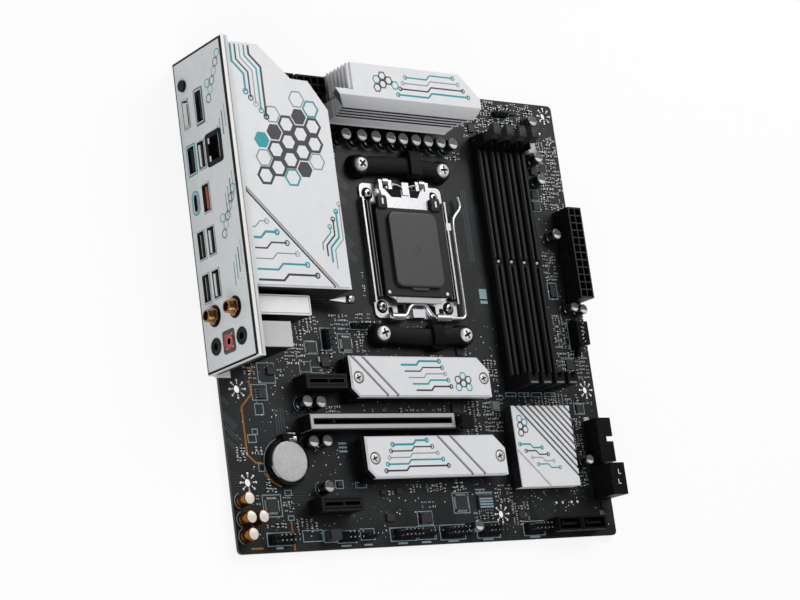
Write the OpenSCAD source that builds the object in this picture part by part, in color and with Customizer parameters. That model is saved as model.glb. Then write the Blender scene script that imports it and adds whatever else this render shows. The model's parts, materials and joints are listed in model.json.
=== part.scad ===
// Small square computer main board, lying flat with its component side up.
// Places are measured from the corner between the rear port edge (X) and the header edge (Y).
// Most places count back from the processor edge, so a deeper board grows at the header edge.

/* [Board] */
// Width of the board, from the rear port edge to the power edge
board_w = 243.84; // [243:0.01:310]
// Depth of the board, from the header edge to the processor edge
board_d = 243.84; // [243:0.01:310]
// Thickness of the board
board_t = 1.6; // [1.2:0.1:2.4]
// Radius of the board's corners
board_corner_r = 2.5; // [0.5:0.5:6]
// Diameter of the standoff holes
standoff_hole_d = 3.96; // [3.2:0.01:4.5]
// Room taken by the parts on the underside
under_h = 2.2; // [1.8:0.1:3.5]

/* [Rear panel] */
// Length of the rear panel along the board's edge
panel_l = 158.4; // [150:0.1:175]
// Height of the rear panel
panel_h = 44.4; // [42:0.1:52]
// Sheet thickness of the rear panel
panel_t = 1; // [0.6:0.1:1.5]
// Gap between the board's edge and the outer face of the panel
panel_out = 3; // [2.4:0.1:4]
// Depth of the folded rim round the panel
panel_rim = 3; // [2:0.1:4]
// Width of one flat bus port's shell
usb_w = 14.4; // [13.6:0.1:16]
// Height of one flat bus port's shell
usb_h = 6.7; // [6.2:0.1:7.2]
// Diameter of the bore of an audio jack
jack_d = 3.6; // [3.5:0.01:3.8]
// Diameter of the update button
button_d = 5.6; // [4:0.1:6.4]
// Travel of the update button
button_travel = 1; // [0.5:0.1:1.2]

/* [Processor socket] */
// Distance between the cooler screws along the board's width
cooler_x = 54; // [50:0.1:70]
// Distance between the cooler screws along the board's depth
cooler_y = 90; // [86:0.1:110]
// Side of the square processor package
cpu_side = 40; // [36:0.1:41]
// Diameter of the lever's wire
lever_wire_d = 2.2; // [1.8:0.02:2.7]
// Length of the lever's arm, from the hinge to the catch
lever_arm_l = 51.3; // [45:0.1:58]
// Thickness of the load plate
load_plate_t = 1.2; // [1:0.1:1.6]
// Diameter of the load plate's hinge pins
plate_pin_d = 2.2; // [1.8:0.02:2.7]

/* [Memory slots] */
// Distance from one memory slot to the next
dimm_pitch = 9.12; // [8.2:0.01:11]
// Length of a memory module
dimm_module_l = 133.35; // [120:0.01:134]
// Width of a memory slot
dimm_w = 6.8; // [6:0.1:7.2]
// Height of the guide tower and the latch over the board
dimm_tower_h = 20.2; // [17:0.1:25]
// Diameter of a latch's pivot pin
dimm_pin_d = 2; // [1.6:0.02:2.4]

/* [Expansion slots] */
// Distance from one card slot to the next
card_pitch = 20.32; // [20.32:0.01:25.4]
// Height of a card slot over the board
card_slot_h = 11; // [9.5:0.1:13.2]
// Width of a card slot's housing
card_slot_w = 7.3; // [6.5:0.1:8]
// Length of the long card slot
long_slot_l = 89; // [80:0.1:90]
// Length of a short card slot
short_slot_l = 25; // [23:0.1:28]
// Diameter of the card latch's pivot pin
card_pin_d = 2; // [1.6:0.02:2.4]

/* [Heatsinks] */
// Height of the port cover's top over the board's underside
cover_top = 40.5; // [39:0.1:42]
// Wall of the port cover
cover_wall = 2.2; // [1.6:0.1:2.6]
// Height of the upper heatsink's top over the board's underside
vrm_top = 32; // [28:0.1:36]
// Length of a drive heatsink
drive_sink_l = 90; // [86:0.1:91]
// Width of a drive heatsink
drive_sink_w = 20.9; // [18:0.1:21]
// Height of a drive heatsink's top over the board's underside
drive_sink_top = 11.5; // [10.5:0.1:14]
// Side of the chipset heatsink along the board's width
chip_sink_w = 40.6; // [36:0.1:44]
// Side of the chipset heatsink along the board's depth
chip_sink_d = 43.2; // [38:0.1:46]
// Height of the chipset heatsink's top over the board's underside
chip_sink_top = 10; // [8:0.1:13]

/* [Power and battery] */
// Distance between power contacts
power_pitch = 4.2; // [4:0.01:4.3]
// Height of a power housing over the board
power_h = 12.8; // [11:0.1:15]
// Diameter of the coin cell
cell_d = 20; // [16:0.1:24]
// Thickness of the coin cell
cell_t = 3.2; // [2.5:0.1:4]

/* [Hidden] */
$fn = 48;

// Clearances: a shaft in its bore, beside a moving piece, and a port in its cut-out
shaft_gap = 0.06;
move_gap = 0.3;
cut_gap = 0.25;
pin_gap = 0.1;
// A little more than a cut needs, so that no skin is left
eps = 0.01;

// Frame: the origin is under the middle of the part, at the level it rests on
antenna_out = 8.2;
panel_over = 1.5;
x_low = -antenna_out;
y_high = board_d + panel_over;
function origin() = [(x_low + board_w) / 2, y_high / 2, -under_h];
module board_frame() {
    translate(-origin()) children();
}
function back(d) = board_d - d;
top = board_t;

// Colours
black = "#1b1c1f";
board_black = "#24262a";
dark_metal = "#3a3b3f";
white_paint = "#d9dadd";
steel = "#b9bbbf";
bright_steel = "#d0d2d5";
gold = "#c79a4b";
grey = "#7d8086";
pad_grey = "#8f979e";

// Standoff holes: four in a rectangle, two near the rear edge and two single ones
standoff_mid_x = 165.1;
standoff_right = 6.35;
standoff_top = 6.35;
standoff_row = 163.83;
standoff_rear_x = 10.16;
standoff_rear_step = 45.72;
standoff_panel_x = 33.02;
standoff_low = 229.87;
standoff_points = [
    [standoff_mid_x, back(standoff_top)], [board_w - standoff_right, back(standoff_top)],
    [standoff_mid_x, back(standoff_row)], [board_w - standoff_right, back(standoff_row)],
    [standoff_rear_x, back(standoff_row)], [standoff_rear_x, back(standoff_row + standoff_rear_step)],
    [standoff_panel_x, back(standoff_top)], [standoff_mid_x, back(standoff_low)]
];

// Shared shapes
module box(low, high) {
    translate(low) cube(high - low);
}
module slab(points, low, high) {
    translate([0, 0, low]) linear_extrude(high - low) polygon(points);
}
module post(at, low, high, r) {
    translate([at[0], at[1], low]) cylinder(r = r, h = high - low);
}
// Round bar along X or Y through a point
module bar_x(from, to, y, z, r) {
    translate([from, y, z]) rotate([0, 90, 0]) cylinder(r = r, h = to - from);
}
module bar_y(from, to, x, z, r) {
    translate([x, to, z]) rotate([90, 0, 0]) cylinder(r = r, h = to - from);
}
module round_rect(w, d, r) {
    translate([r, 0]) square([w - 2 * r, d]);
    translate([0, r]) square([w, d - 2 * r]);
    for (x = [r, w - r], y = [r, d - r]) translate([x, y]) circle(r);
}
// Outline drawn in by a distance; the points run anticlockwise
function unit(v) = v / norm(v);
function inward(a, b) = let (u = unit(b - a)) [-u[1], u[0]];
function inset(p, d) = let (n = len(p)) [
    for (i = [0:n - 1])
        let (
            before = inward(p[(i + n - 1) % n], p[i]),
            after = inward(p[i], p[(i + 1) % n])
        )
        p[i] + d * (before + after) / (1 + before * after)
];
// Outline of a strip of one width along an open path, with mitred corners
function beside(p, d) = let (n = len(p)) [
    for (i = [0:n - 1])
        let (
            before = (i == 0) ? inward(p[0], p[1]) : inward(p[i - 1], p[i]),
            after = (i == n - 1) ? before : inward(p[i], p[i + 1])
        )
        p[i] + d * (before + after) / (1 + before * after)
];
function reversed(p) = [for (i = [len(p) - 1:-1:0]) p[i]];
function strip(p, w) = concat(beside(p, -w / 2), reversed(beside(p, w / 2)));
// Cross slot in the head of a screw
module cross_slot(at, top_z, reach, width, depth) {
    translate([at[0], at[1], top_z - depth + eps]) {
        translate([-reach, -width / 2, 0]) cube([2 * reach, width, depth]);
        translate([-width / 2, -reach, 0]) cube([width, 2 * reach, depth]);
    }
}
module pan_screw(at, tip_z, seat_z, shank_r, head_r, head_h) {
    difference() {
        union() {
            post(at, tip_z, seat_z + eps, shank_r);
            post(at, seat_z, seat_z + head_h, head_r);
        }
        cross_slot(at, seat_z + head_h, head_r * 0.62, head_r * 0.22, head_h * 0.6);
    }
}

// Processor socket places
socket_x = 126.3;
socket_from_top = 90.8;
socket_y = back(socket_from_top);
cooler_points = [
    for (x = [-1, 1], y = [-1, 1]) [socket_x + x * cooler_x / 2, socket_y + y * cooler_y / 2]
];
frame_screw_x = 43.6;
frame_screw_y = 60.4;
frame_screw_off = [-0.6, 0.3];
frame_points = [
    for (x = [-1, 1], y = [-1, 1]) [socket_x, socket_y] + frame_screw_off
        + [x * frame_screw_x / 2, y * frame_screw_y / 2]
];
post_r = 2.9;
post_h = 4;
post_bore_r = 1.6;
bush_r = 2.1;
bush_bore_r = 1.1;
bush_h = 0.9;
plate_margin = 5.5;
backplate_window = [20, 22];

module socket_backplate() {
    color(steel) board_frame() {
        difference() {
            union() {
                translate([socket_x - cooler_x / 2 - plate_margin, socket_y - cooler_y / 2 - plate_margin,
                    -under_h])
                    linear_extrude(under_h) difference() {
                        round_rect(cooler_x + 2 * plate_margin, cooler_y + 2 * plate_margin, plate_margin);
                        translate([cooler_x / 2 + plate_margin, cooler_y / 2 + plate_margin])
                            square(backplate_window, center = true);
                    }
                for (p = cooler_points) post(p, -eps, top + post_h, post_r);
                for (p = frame_points) post(p, -eps, top + bush_h, bush_r);
            }
            for (p = cooler_points) post(p, -under_h - eps, top + post_h + eps, post_bore_r);
            for (p = frame_points) post(p, -under_h - eps, top + bush_h + eps, bush_bore_r);
        }
    }
}

// Plastic socket body with the seat for the processor
socket_rim = 2.2;
socket_hinge_rim = 4.5;
socket_h = 3;
seat_z = top + 1.4;
seat_gap = 0.2;
seat_half = cpu_side / 2 + seat_gap;
contact_half = cpu_side / 2 - 1.6;
contact_t = 0.4;
contact_hole = [11, 13];
module socket_base() {
    color(black) board_frame() difference() {
        box([socket_x - seat_half - socket_rim, socket_y - seat_half - socket_hinge_rim, top],
            [socket_x + seat_half + socket_rim, socket_y + seat_half + socket_hinge_rim, top + socket_h]);
        box([socket_x - seat_half, socket_y - seat_half, seat_z],
            [socket_x + seat_half, socket_y + seat_half, top + socket_h + eps]);
        translate([socket_x, socket_y, top - eps])
            linear_extrude(socket_h) square(contact_hole, center = true);
    }
}
module socket_contacts() {
    color(gold) board_frame() translate([socket_x, socket_y, seat_z]) linear_extrude(contact_t)
        difference() {
        square(2 * contact_half, center = true);
        square(contact_hole, center = true);
    }
}

// Stamped frame round the socket, with bearings for the lever and the load plate
frame_t = 1.2;
frame_lip = 1;
frame_lip_h = 3.4;
frame_side = 4.6;
frame_low_run = 11;
frame_high_run = 11.6;
frame_corner_r = 3;
lip_end = 8;
frame_half_x = seat_half + socket_rim + frame_side;
frame_low_y = socket_y - seat_half - socket_hinge_rim - frame_low_run;
frame_high_y = socket_y + seat_half + socket_hinge_rim + frame_high_run;
frame_top = top + frame_t;
wire_r = lever_wire_d / 2;
knuckle_wall = 1.1;
knuckle_sink = 0.2;
knuckle_l = [8, 9];
knuckle_r = wire_r + shaft_gap + knuckle_wall;
lever_y = frame_low_y;
lever_z = frame_top + knuckle_r - knuckle_sink;
crank_reach = 6.9;
crank_foot = 9;
crank_bar = 5;
crank_x = socket_x - 0.3;
knuckle_gap = 1.6;
knuckles = [
    [crank_x - crank_foot - knuckle_gap - knuckle_l[0], crank_x - crank_foot - knuckle_gap],
    [crank_x + crank_foot + knuckle_gap, crank_x + crank_foot + knuckle_gap + knuckle_l[1]]
];
frame_tab = [8, 4.4, 2.2];
catch_y = lever_y + lever_arm_l;
lever_aside = 1.4;
lever_x = socket_x + frame_half_x + frame_lip + wire_r + lever_aside;
catch_l = [3, 1];
pin_r = plate_pin_d / 2;
ring_wall = 1.1;
ring_r = pin_r + shaft_gap + ring_wall;
ring_half = 1.7;
hinge_out = 0.6;
hinge_y = frame_high_y + hinge_out;
hinge_z = frame_top + ring_r;
hinge_xs = [socket_x - 12.5, socket_x + 11.7];
module socket_frame() {
    color(bright_steel) board_frame() difference() {
        union() {
            translate([0, 0, top]) linear_extrude(frame_t) difference() {
                translate([socket_x - frame_half_x, frame_low_y])
                    round_rect(2 * frame_half_x, frame_high_y - frame_low_y, frame_corner_r);
                translate([socket_x, socket_y]) square([
                    2 * (seat_half + socket_rim + pin_gap), 2 * (seat_half + socket_hinge_rim + pin_gap)
                ], center = true);
                for (p = frame_points) translate(p) circle(r = bush_r + pin_gap);
            }
            // Stiffening lips along both sides
            for (side = [-1, 1])
                translate([socket_x + side * frame_half_x - frame_lip / 2, frame_low_y + lip_end, top])
                    cube([frame_lip, frame_high_y - frame_low_y - 2 * lip_end, frame_lip_h]);
            // Catch beside the lever's arm
            box([socket_x + frame_half_x - frame_lip, catch_y - catch_l[0], top + frame_lip_h - frame_t],
                [lever_x - wire_r - move_gap, catch_y + catch_l[1], top + frame_lip_h]);
            // Bearings of the lever
            for (k = knuckles) {
                bar_x(k[0], k[1], lever_y, lever_z, knuckle_r);
                box([k[0], lever_y - knuckle_r, top], [k[1], lever_y + knuckle_r, lever_z]);
            }
            // Tab inside the lever's crank
            translate([crank_x - frame_tab[0] / 2, lever_y, frame_top - eps]) cube(frame_tab);
            // Bearings of the load plate
            for (x = hinge_xs) {
                bar_x(x - ring_half, x + ring_half, hinge_y, hinge_z, ring_r);
                box([x - ring_half, hinge_y - hinge_out - eps, top],
                    [x + ring_half, hinge_y + ring_r, hinge_z]);
            }
        }
        for (k = knuckles) bar_x(k[0] - eps, k[1] + eps, lever_y, lever_z, wire_r + shaft_gap);
        for (x = hinge_xs)
            bar_x(x - ring_half - eps, x + ring_half + eps, hinge_y, hinge_z, pin_r + shaft_gap);
    }
}
frame_screw_head_r = 2.7;
frame_screw_head_h = 1.5;
screw_tip_in = 0.4;
module socket_screws() {
    color(steel) board_frame() for (p = frame_points)
        pan_screw(p, -under_h + screw_tip_in, frame_top, bush_bore_r - shaft_gap, frame_screw_head_r,
            frame_screw_head_h);
}

// Load plate: a pressed window frame hinged at the processor edge
plate_over = 0.9;
crank_clear = 0.45;
plate_short = 4.2;
plate_z = top + socket_h + plate_over;
plate_low_y = lever_y + crank_reach + wire_r + crank_clear;
plate_high_y = hinge_y - plate_short;
plate_half_x = seat_half + 0.4;
window_half_x = seat_half - 3.4;
window_half_y = seat_half - 0.8;
cheek_w = 2.2;
cheek_rim = 0.5;
horn_half = 2.2;
horn_h = 1.8;
horn_in = 3;
module load_plate() {
    shoulder = 6;
    neck = [15, 16.4];
    neck_y = socket_y + seat_half + 2;
    neck_run = 3;
    color(bright_steel) board_frame() union() {
        translate([0, 0, plate_z]) linear_extrude(load_plate_t) difference() {
            polygon([
                [socket_x - plate_half_x + shoulder, plate_low_y],
                    [socket_x + plate_half_x - shoulder, plate_low_y],
                [socket_x + plate_half_x, plate_low_y + shoulder / 2],
                [socket_x + plate_half_x, neck_y],
                [socket_x + neck[0], neck_y + neck_run], [socket_x + neck[1], plate_high_y],
                [socket_x - neck[1], plate_high_y], [socket_x - neck[0], neck_y + neck_run],
                [socket_x - plate_half_x, neck_y],
                [socket_x - plate_half_x, plate_low_y + shoulder / 2]
            ]);
            translate([socket_x, socket_y]) square([2 * window_half_x, 2 * window_half_y], center = true);
        }
        // Raised horn in the middle of the hinged edge
        box([socket_x - horn_half, plate_high_y - horn_in, plate_z],
            [socket_x + horn_half, hinge_y - move_gap, plate_z + horn_h]);
        for (x = hinge_xs) {
            bar_x(x - ring_half - move_gap - cheek_w, x + ring_half + move_gap + cheek_w, hinge_y, hinge_z,
                pin_r);
            for (low = [x - ring_half - move_gap - cheek_w, x + ring_half + move_gap]) {
                bar_x(low, low + cheek_w, hinge_y, hinge_z, pin_r + cheek_rim);
                box([low, plate_high_y - 1, plate_z], [low + cheek_w, hinge_y, plate_z + load_plate_t]);
            }
        }
    }
}

// Lever: round in its bearings, with a crank in the middle and a bent arm
handle_out = 7.2;
handle_steps = [4.2, 10, 15.8];
handle_lead = 1;
handle_hook = 1.4;
bar_end = 1.4;
bar_in = 1;
lever_flat = 0.92 * lever_wire_d;
crank_points = [
    [crank_x - crank_foot, lever_y], [crank_x - crank_bar, lever_y + crank_reach],
    [crank_x + crank_bar, lever_y + crank_reach], [crank_x + crank_foot, lever_y]
];
arm_points = [
    [lever_x, lever_y - wire_r / 2], [lever_x, catch_y], [lever_x + handle_lead, catch_y + handle_steps[0]],
    [lever_x + handle_out, catch_y + handle_steps[1]],
    [lever_x + handle_out - handle_hook, catch_y + handle_steps[2]]
];
module load_lever() {
    color(bright_steel) board_frame() union() {
        bar_x(knuckles[0][0] - bar_end, crank_x - crank_foot + bar_in, lever_y, lever_z, wire_r);
        bar_x(crank_x + crank_foot - bar_in, lever_x + wire_r, lever_y, lever_z, wire_r);
        slab(strip(crank_points, lever_flat), lever_z - lever_flat / 2, lever_z + lever_flat / 2);
        slab(strip(arm_points, lever_flat), lever_z - lever_flat / 2, lever_z + lever_flat / 2);
    }
}

// Pick-up cap that covers the window until a processor is fitted
cap_lift = 0.1;
cap_z = plate_z + load_plate_t + cap_lift;
cap_flange_t = 1.1;
cap_h = 3.3;
cap_top = cap_z + cap_h;
cap_wall = 1.2;
cap_half_x = seat_half + 1.9;
cap_low = 24.8;
cap_high = 22.2;
panel_half_x = 15.8;
panel_low = 20.6;
panel_high = 19.5;
cap_chamfer = 4;
panel_chamfer = 1.5;
cap_tab = [6.8, 1.6];
leg_drop = 0.4;
// Rectangle with cut corners, from its middle, half width and the reach to both sides
function cut_rect(half, low, high, cut) = [
    [socket_x - half + cut, socket_y - low], [socket_x + half - cut, socket_y - low],
    [socket_x + half, socket_y - low + cut], [socket_x + half, socket_y + high - cut],
    [socket_x + half - cut, socket_y + high], [socket_x - half + cut, socket_y + high],
    [socket_x - half, socket_y + high - cut], [socket_x - half, socket_y - low + cut]
];
module socket_cap() {
    flange = cut_rect(cap_half_x, cap_low, cap_high, cap_chamfer);
    panel = cut_rect(panel_half_x, panel_low, panel_high, panel_chamfer);
    leg = 1.2;
    leg_half = 5;
    color(black) board_frame() {
        difference() {
            union() {
                slab(flange, cap_z, cap_z + cap_flange_t);
                slab(panel, cap_z, cap_top);
                box([socket_x - cap_tab[0], socket_y - cap_low - cap_tab[1], cap_z],
                    [socket_x + cap_tab[0], socket_y - cap_low + 1, cap_z + cap_flange_t]);
            }
            slab(inset(panel, cap_wall), cap_z - eps, cap_top - cap_wall);
        }
        // Legs that centre the cap in the window
        for (side = [-1, 1])
            translate([socket_x + side * (window_half_x - move_gap - leg / 2), socket_y, 0])
                box([-leg / 2, -leg_half, plate_z - leg_drop], [leg / 2, leg_half, cap_z + eps]);
    }
}

// Cooler brackets beside the socket, each with two screw bosses and a clip lug
boss_r = 5.2;
boss_h = 5;
bracket_bar = 8;
bracket_h = 5.6;
lug = [9.6, 13.2, 6.2];
lug_off = [8.6, 1.2];
boss_rim = 0.6;
screw_head_r = 3.7;
screw_head_h = 2.4;
module cooler_bracket(side) {
    y = socket_y + side * cooler_y / 2;
    lug_x = socket_x + lug_off[0];
    color(black) board_frame() difference() {
        union() {
            box([socket_x - cooler_x / 2, y - bracket_bar / 2, top],
                [socket_x + cooler_x / 2, y + bracket_bar / 2, top + bracket_h]);
            for (x = [-1, 1]) post([socket_x + x * cooler_x / 2, y], top, top + boss_h, boss_r);
            translate([lug_x - lug[0] / 2, y - lug[1] / 2 + side * lug_off[1], top]) cube(lug);
        }
        for (x = [-1, 1]) {
            boss = [socket_x + x * cooler_x / 2, y];
            post(boss, top - eps, top + post_h + pin_gap, post_r + pin_gap);
            post(boss, top, top + bracket_h + 1, post_bore_r + pin_gap);
            post(boss, top + boss_h, top + bracket_h + 1, boss_r - boss_rim);
        }
    }
}
module cooler_bracket_upper() {
    cooler_bracket(1);
}
module cooler_bracket_lower() {
    cooler_bracket(-1);
}
module bracket_screws() {
    color(steel) board_frame() for (p = cooler_points)
        pan_screw(p, -under_h + screw_tip_in, top + boss_h, post_bore_r - shaft_gap, screw_head_r,
            screw_head_h);
}

// Port cover: a painted shell over the ports and the left heatsink
cover_outline = [
    [1.2, back(122.8)], [57.9, back(122.8)], [57.6, back(31)], [47.3, back(16.7)],
    [37.1, back(16.4)], [19.7, back(0.4)], [1.2, back(0.4)]
];
cover_bottom = 22;
cover_edge = 0.9;
groove_w = 1.3;
groove_depth = 0.8;
// Straight groove in a top face between two points
module groove(from, to, top_z, w, depth) {
    run = to - from;
    translate([from[0], from[1], top_z - depth]) rotate(atan2(run[1], run[0]))
        translate([-w, -w / 2, 0]) cube([norm(run) + 2 * w, w, depth + eps]);
}
module io_cover() {
    color(white_paint) board_frame() difference() {
        union() {
            slab(cover_outline, cover_bottom, cover_top - cover_edge);
            slab(inset(cover_outline, cover_edge), cover_top - cover_edge - eps, cover_top);
        }
        slab(inset(cover_outline, cover_wall), cover_bottom - eps, cover_top - cover_wall);
        // Open towards the rear panel
        box([1, back(122.8) + cover_wall, cover_bottom - eps],
            [1.2 + cover_wall + eps, back(0.4) - cover_wall, cover_top - cover_wall]);
        groove([1.2, back(74.6)], [48.5, back(122.4)], cover_top, groove_w, groove_depth);
    }
}

// Left heatsink: a finned dark block inside the port cover
pad_t = 1;
chip_h = 0.9;
sink_base = top + chip_h + pad_t;
left_sink_low = [37, back(119.4)];
left_sink_high = [55.2, back(36)];
left_base_z = 9;
left_foot_w = 8;
left_fin_z = 12;
left_fin_root = 9;
left_fin = 1.8;
ear_t = 2.4;
left_fin_step = 4;
left_screws = [[41, back(112)], [41, back(44)]];
sink_screw_r = 1.5;
sink_screw_head_r = 2.8;
sink_screw_head_h = 1.6;
sink_thread_l = 5;
module left_fin_gaps() {
    count = floor((cover_top - cover_wall - left_fin_z) / left_fin_step);
    for (i = [0:count - 1])
        box([left_sink_low[0] + left_fin_root, left_sink_low[1] - eps, left_fin_z + i * left_fin_step],
            [left_sink_high[0] + eps, left_sink_high[1] + eps,
                left_fin_z + (i + 1) * left_fin_step - left_fin]);
}
module vrm_heatsink_left() {
    color(dark_metal) board_frame() difference() {
        union() {
            box(concat(left_sink_low, [left_base_z]), concat(left_sink_high, [cover_top - cover_wall]));
            box(concat(left_sink_low, [sink_base]),
                [left_sink_low[0] + left_foot_w, left_sink_high[1], left_base_z + eps]);
            // Ear that reaches towards the socket
            slab([[54, left_sink_low[1]], [62.8, left_sink_low[1]], [81, left_sink_low[1] + 2],
                [81, left_sink_low[1] + 6], [60, left_sink_low[1] + 12], [54, left_sink_low[1] + 12]],
                left_base_z, left_base_z + ear_t);
        }
        left_fin_gaps();
        for (p = left_screws) post(p, sink_base - eps, sink_base + sink_thread_l, sink_screw_r + shaft_gap);
    }
}

// Upper heatsink: sloped front, stepped fins below, cross-cut fins at its left end
upper_left = 78.6;
upper_right = 165.1;
upper_back = back(0.4);
upper_front = back(18.2);
upper_bevel = 12.8;
slope_foot_y = back(22.3);
slope_foot_z = 25.4;
step_fins = 4;
step_fin_t = 1.7;
step_pitch = 3.9;
step_out = 1.1;
upper_foot_y = back(14.6);
choke_room = top + 5.6;
cross_fins = 6;
cross_step = 2.5;
cross_fin_t = 1.1;
cross_fall = 10;
cross_depth = 15;
cross_in = 5;
step_root = 3;
upper_screws = [[95, back(9)], [150, back(9)]];
module upper_profile() {
    polygon(concat(
        [[upper_back, sink_base], [upper_back, vrm_top], [upper_front, vrm_top],
            [slope_foot_y, slope_foot_z]],
        [for (i = [0:step_fins - 1], p = [0:3])
            let (
                z = slope_foot_z - i * step_pitch,
                fin_y = slope_foot_y - i * step_out,
                root_y = slope_foot_y + step_root
            )
            [[fin_y, z], [fin_y, z - step_fin_t], [root_y, z - step_fin_t], [root_y, z - step_pitch]][p]],
        [[slope_foot_y + step_root, choke_room], [upper_foot_y, choke_room], [upper_foot_y, sink_base]]
    ));
}
module vrm_heatsink_upper() {
    color(white_paint) board_frame() difference() {
        translate([upper_left, 0, 0]) rotate([90, 0, 90])
            linear_extrude(upper_right - upper_left) upper_profile();
        // Cut-off rear corner beside the standoff hole
        slab([[upper_right - upper_bevel, upper_back + 1], [upper_right + 1, upper_back + 1],
            [upper_right + 1, upper_back - upper_bevel - 1]],
            0, vrm_top + 1);
        // Left end falls away towards the power sockets
        rotate([90, 0, 0]) translate([0, 0, -upper_back - 1]) linear_extrude(upper_back - slope_foot_y + 20)
            polygon([[upper_left - 1, vrm_top + 1], [upper_left - 1, vrm_top - cross_fall],
                [upper_left, vrm_top - cross_fall],
                [upper_left + cross_fins * cross_step, vrm_top],
                    [upper_left + cross_fins * cross_step, vrm_top + 1]]);
        for (i = [0:cross_fins - 1])
            box([upper_left + i * cross_step + cross_fin_t, upper_front + cross_in, vrm_top - cross_depth],
                [upper_left + (i + 1) * cross_step, upper_back + 1, vrm_top + 1]);
        for (p = upper_screws)
            post(p, sink_base - eps, sink_base + sink_thread_l, sink_screw_r + shaft_gap);
    }
}

// Chipset heatsink: a low block with slanted ridges over one half
chip_sink_x = 174.8;
chip_sink_y = back(217.5);
chip_package = 19;
chip_package_h = 1.6;
chip_pad_t = 0.6;
chip_sink_base = top + chip_package_h + chip_pad_t;
ridge_step = 3;
ridge_gap = 1.3;
ridge_depth = 1.8;
ridge_count = 9;
ridge_start = 46;
chip_groove = 20;
chip_screw_in = 5;
chip_thread_l = 4;
chip_screws = [
    [chip_sink_x + chip_screw_in, chip_sink_y + chip_sink_d - chip_screw_in],
    [chip_sink_x + chip_sink_w - chip_screw_in, chip_sink_y + chip_screw_in]
];
module chipset_heatsink() {
    corner = [chip_sink_x, chip_sink_y];
    color(white_paint) board_frame() difference() {
        slab([corner, corner + [chip_sink_w, 0], corner + [chip_sink_w, chip_sink_d],
            corner + [0, chip_sink_d]],
            chip_sink_base, chip_sink_top);
        for (i = [0:ridge_count - 1]) {
            reach = ridge_start + i * ridge_step * sqrt(2);
            groove(corner + [reach - chip_sink_d, chip_sink_d], corner + [reach, 0], chip_sink_top,
                ridge_gap, ridge_depth);
        }
        groove(corner + [0, chip_groove], corner + [chip_groove, 0], chip_sink_top, groove_w, groove_depth);
        for (p = chip_screws)
            post(p, chip_sink_base - eps, chip_sink_base + chip_thread_l, sink_screw_r + shaft_gap);
    }
}
module heatsink_screws() {
    color(steel) board_frame() {
        for (p = concat(left_screws, upper_screws)) under_screw(p, sink_base + sink_thread_l - 1);
        for (p = chip_screws) under_screw(p, chip_sink_base + chip_thread_l - 1);
    }
}
// Screw put in from the underside
module under_screw(at, tip_z) {
    mirror([0, 0, 1]) pan_screw(at, -tip_z, 0, sink_screw_r, sink_screw_head_r, sink_screw_head_h);
}
sink_screw_points = concat(left_screws, upper_screws, chip_screws);

// Drive heatsinks over the two drive slots
drive_sink_base = 7.2;
drive_pad_t = 1;
drive_bevel = 7;
drive_bevel_low = 4.4;
drive_edge = 0.7;
drive_screw_in = 4.6;
drive_screw_span = 81;
drive_screw_r = 1.2;
drive_screw_head_r = 2.3;
drive_screw_head_h = 1;
drive_screw_down = 0.4;
drive_head_gap = 0.5;
drive_screw_bite = 1.2;
drive_thread_l = 3;
drive_sink_upper = [72, back(169.7)];
drive_sink_lower = [75.6, back(210.7)];
drive_socket_h = 4.2;
drive_socket_l = 8.6;
drive_socket_w = 21.8;
drive_boss_r = 2.6;
function drive_outline(at) = [
    at + [drive_bevel_low, 0], at + [drive_sink_l, 0], at + [drive_sink_l, drive_sink_w - drive_bevel],
    at + [drive_sink_l - drive_bevel, drive_sink_w], at + [0, drive_sink_w], at + [0, drive_bevel_low]
];
drive_screw_off = -0.7;
function drive_near(at) = at + [drive_screw_in, drive_sink_w / 2 + drive_screw_off];
function drive_far(at) = drive_near(at) + [drive_screw_span, 0];
drive_screw_points = [
    drive_near(drive_sink_upper), drive_far(drive_sink_upper), drive_near(drive_sink_lower),
        drive_far(drive_sink_lower)
];
module drive_heatsink(at, groove_at) {
    seat = drive_sink_top - drive_screw_head_h - drive_screw_down;
    color(white_paint) board_frame() difference() {
        union() {
            slab(drive_outline(at), drive_sink_base, drive_sink_top - drive_edge);
            slab(inset(drive_outline(at), drive_edge), drive_sink_top - drive_edge - eps, drive_sink_top);
        }
        for (x = groove_at)
            groove(at + [x, drive_sink_w], at + [x + drive_sink_w, 0], drive_sink_top, groove_w,
                groove_depth);
        for (p = [drive_near(at), drive_far(at)]) {
            post(p, drive_sink_base - eps, drive_sink_top, drive_screw_r + pin_gap);
            post(p, seat, drive_sink_top + eps, drive_screw_head_r + drive_head_gap);
        }
    }
}
module drive_heatsink_upper() {
    drive_heatsink(drive_sink_upper, [1.5, 8]);
}
module drive_heatsink_lower() {
    drive_heatsink(drive_sink_lower, [45.6, 53.8]);
}
module drive_screws() {
    seat = drive_sink_top - drive_screw_head_h - drive_screw_down;
    color(steel) board_frame() for (p = drive_screw_points)
        pan_screw(p, drive_sink_base - drive_screw_bite, seat, drive_screw_r, drive_screw_head_r,
            drive_screw_head_h);
}
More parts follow.
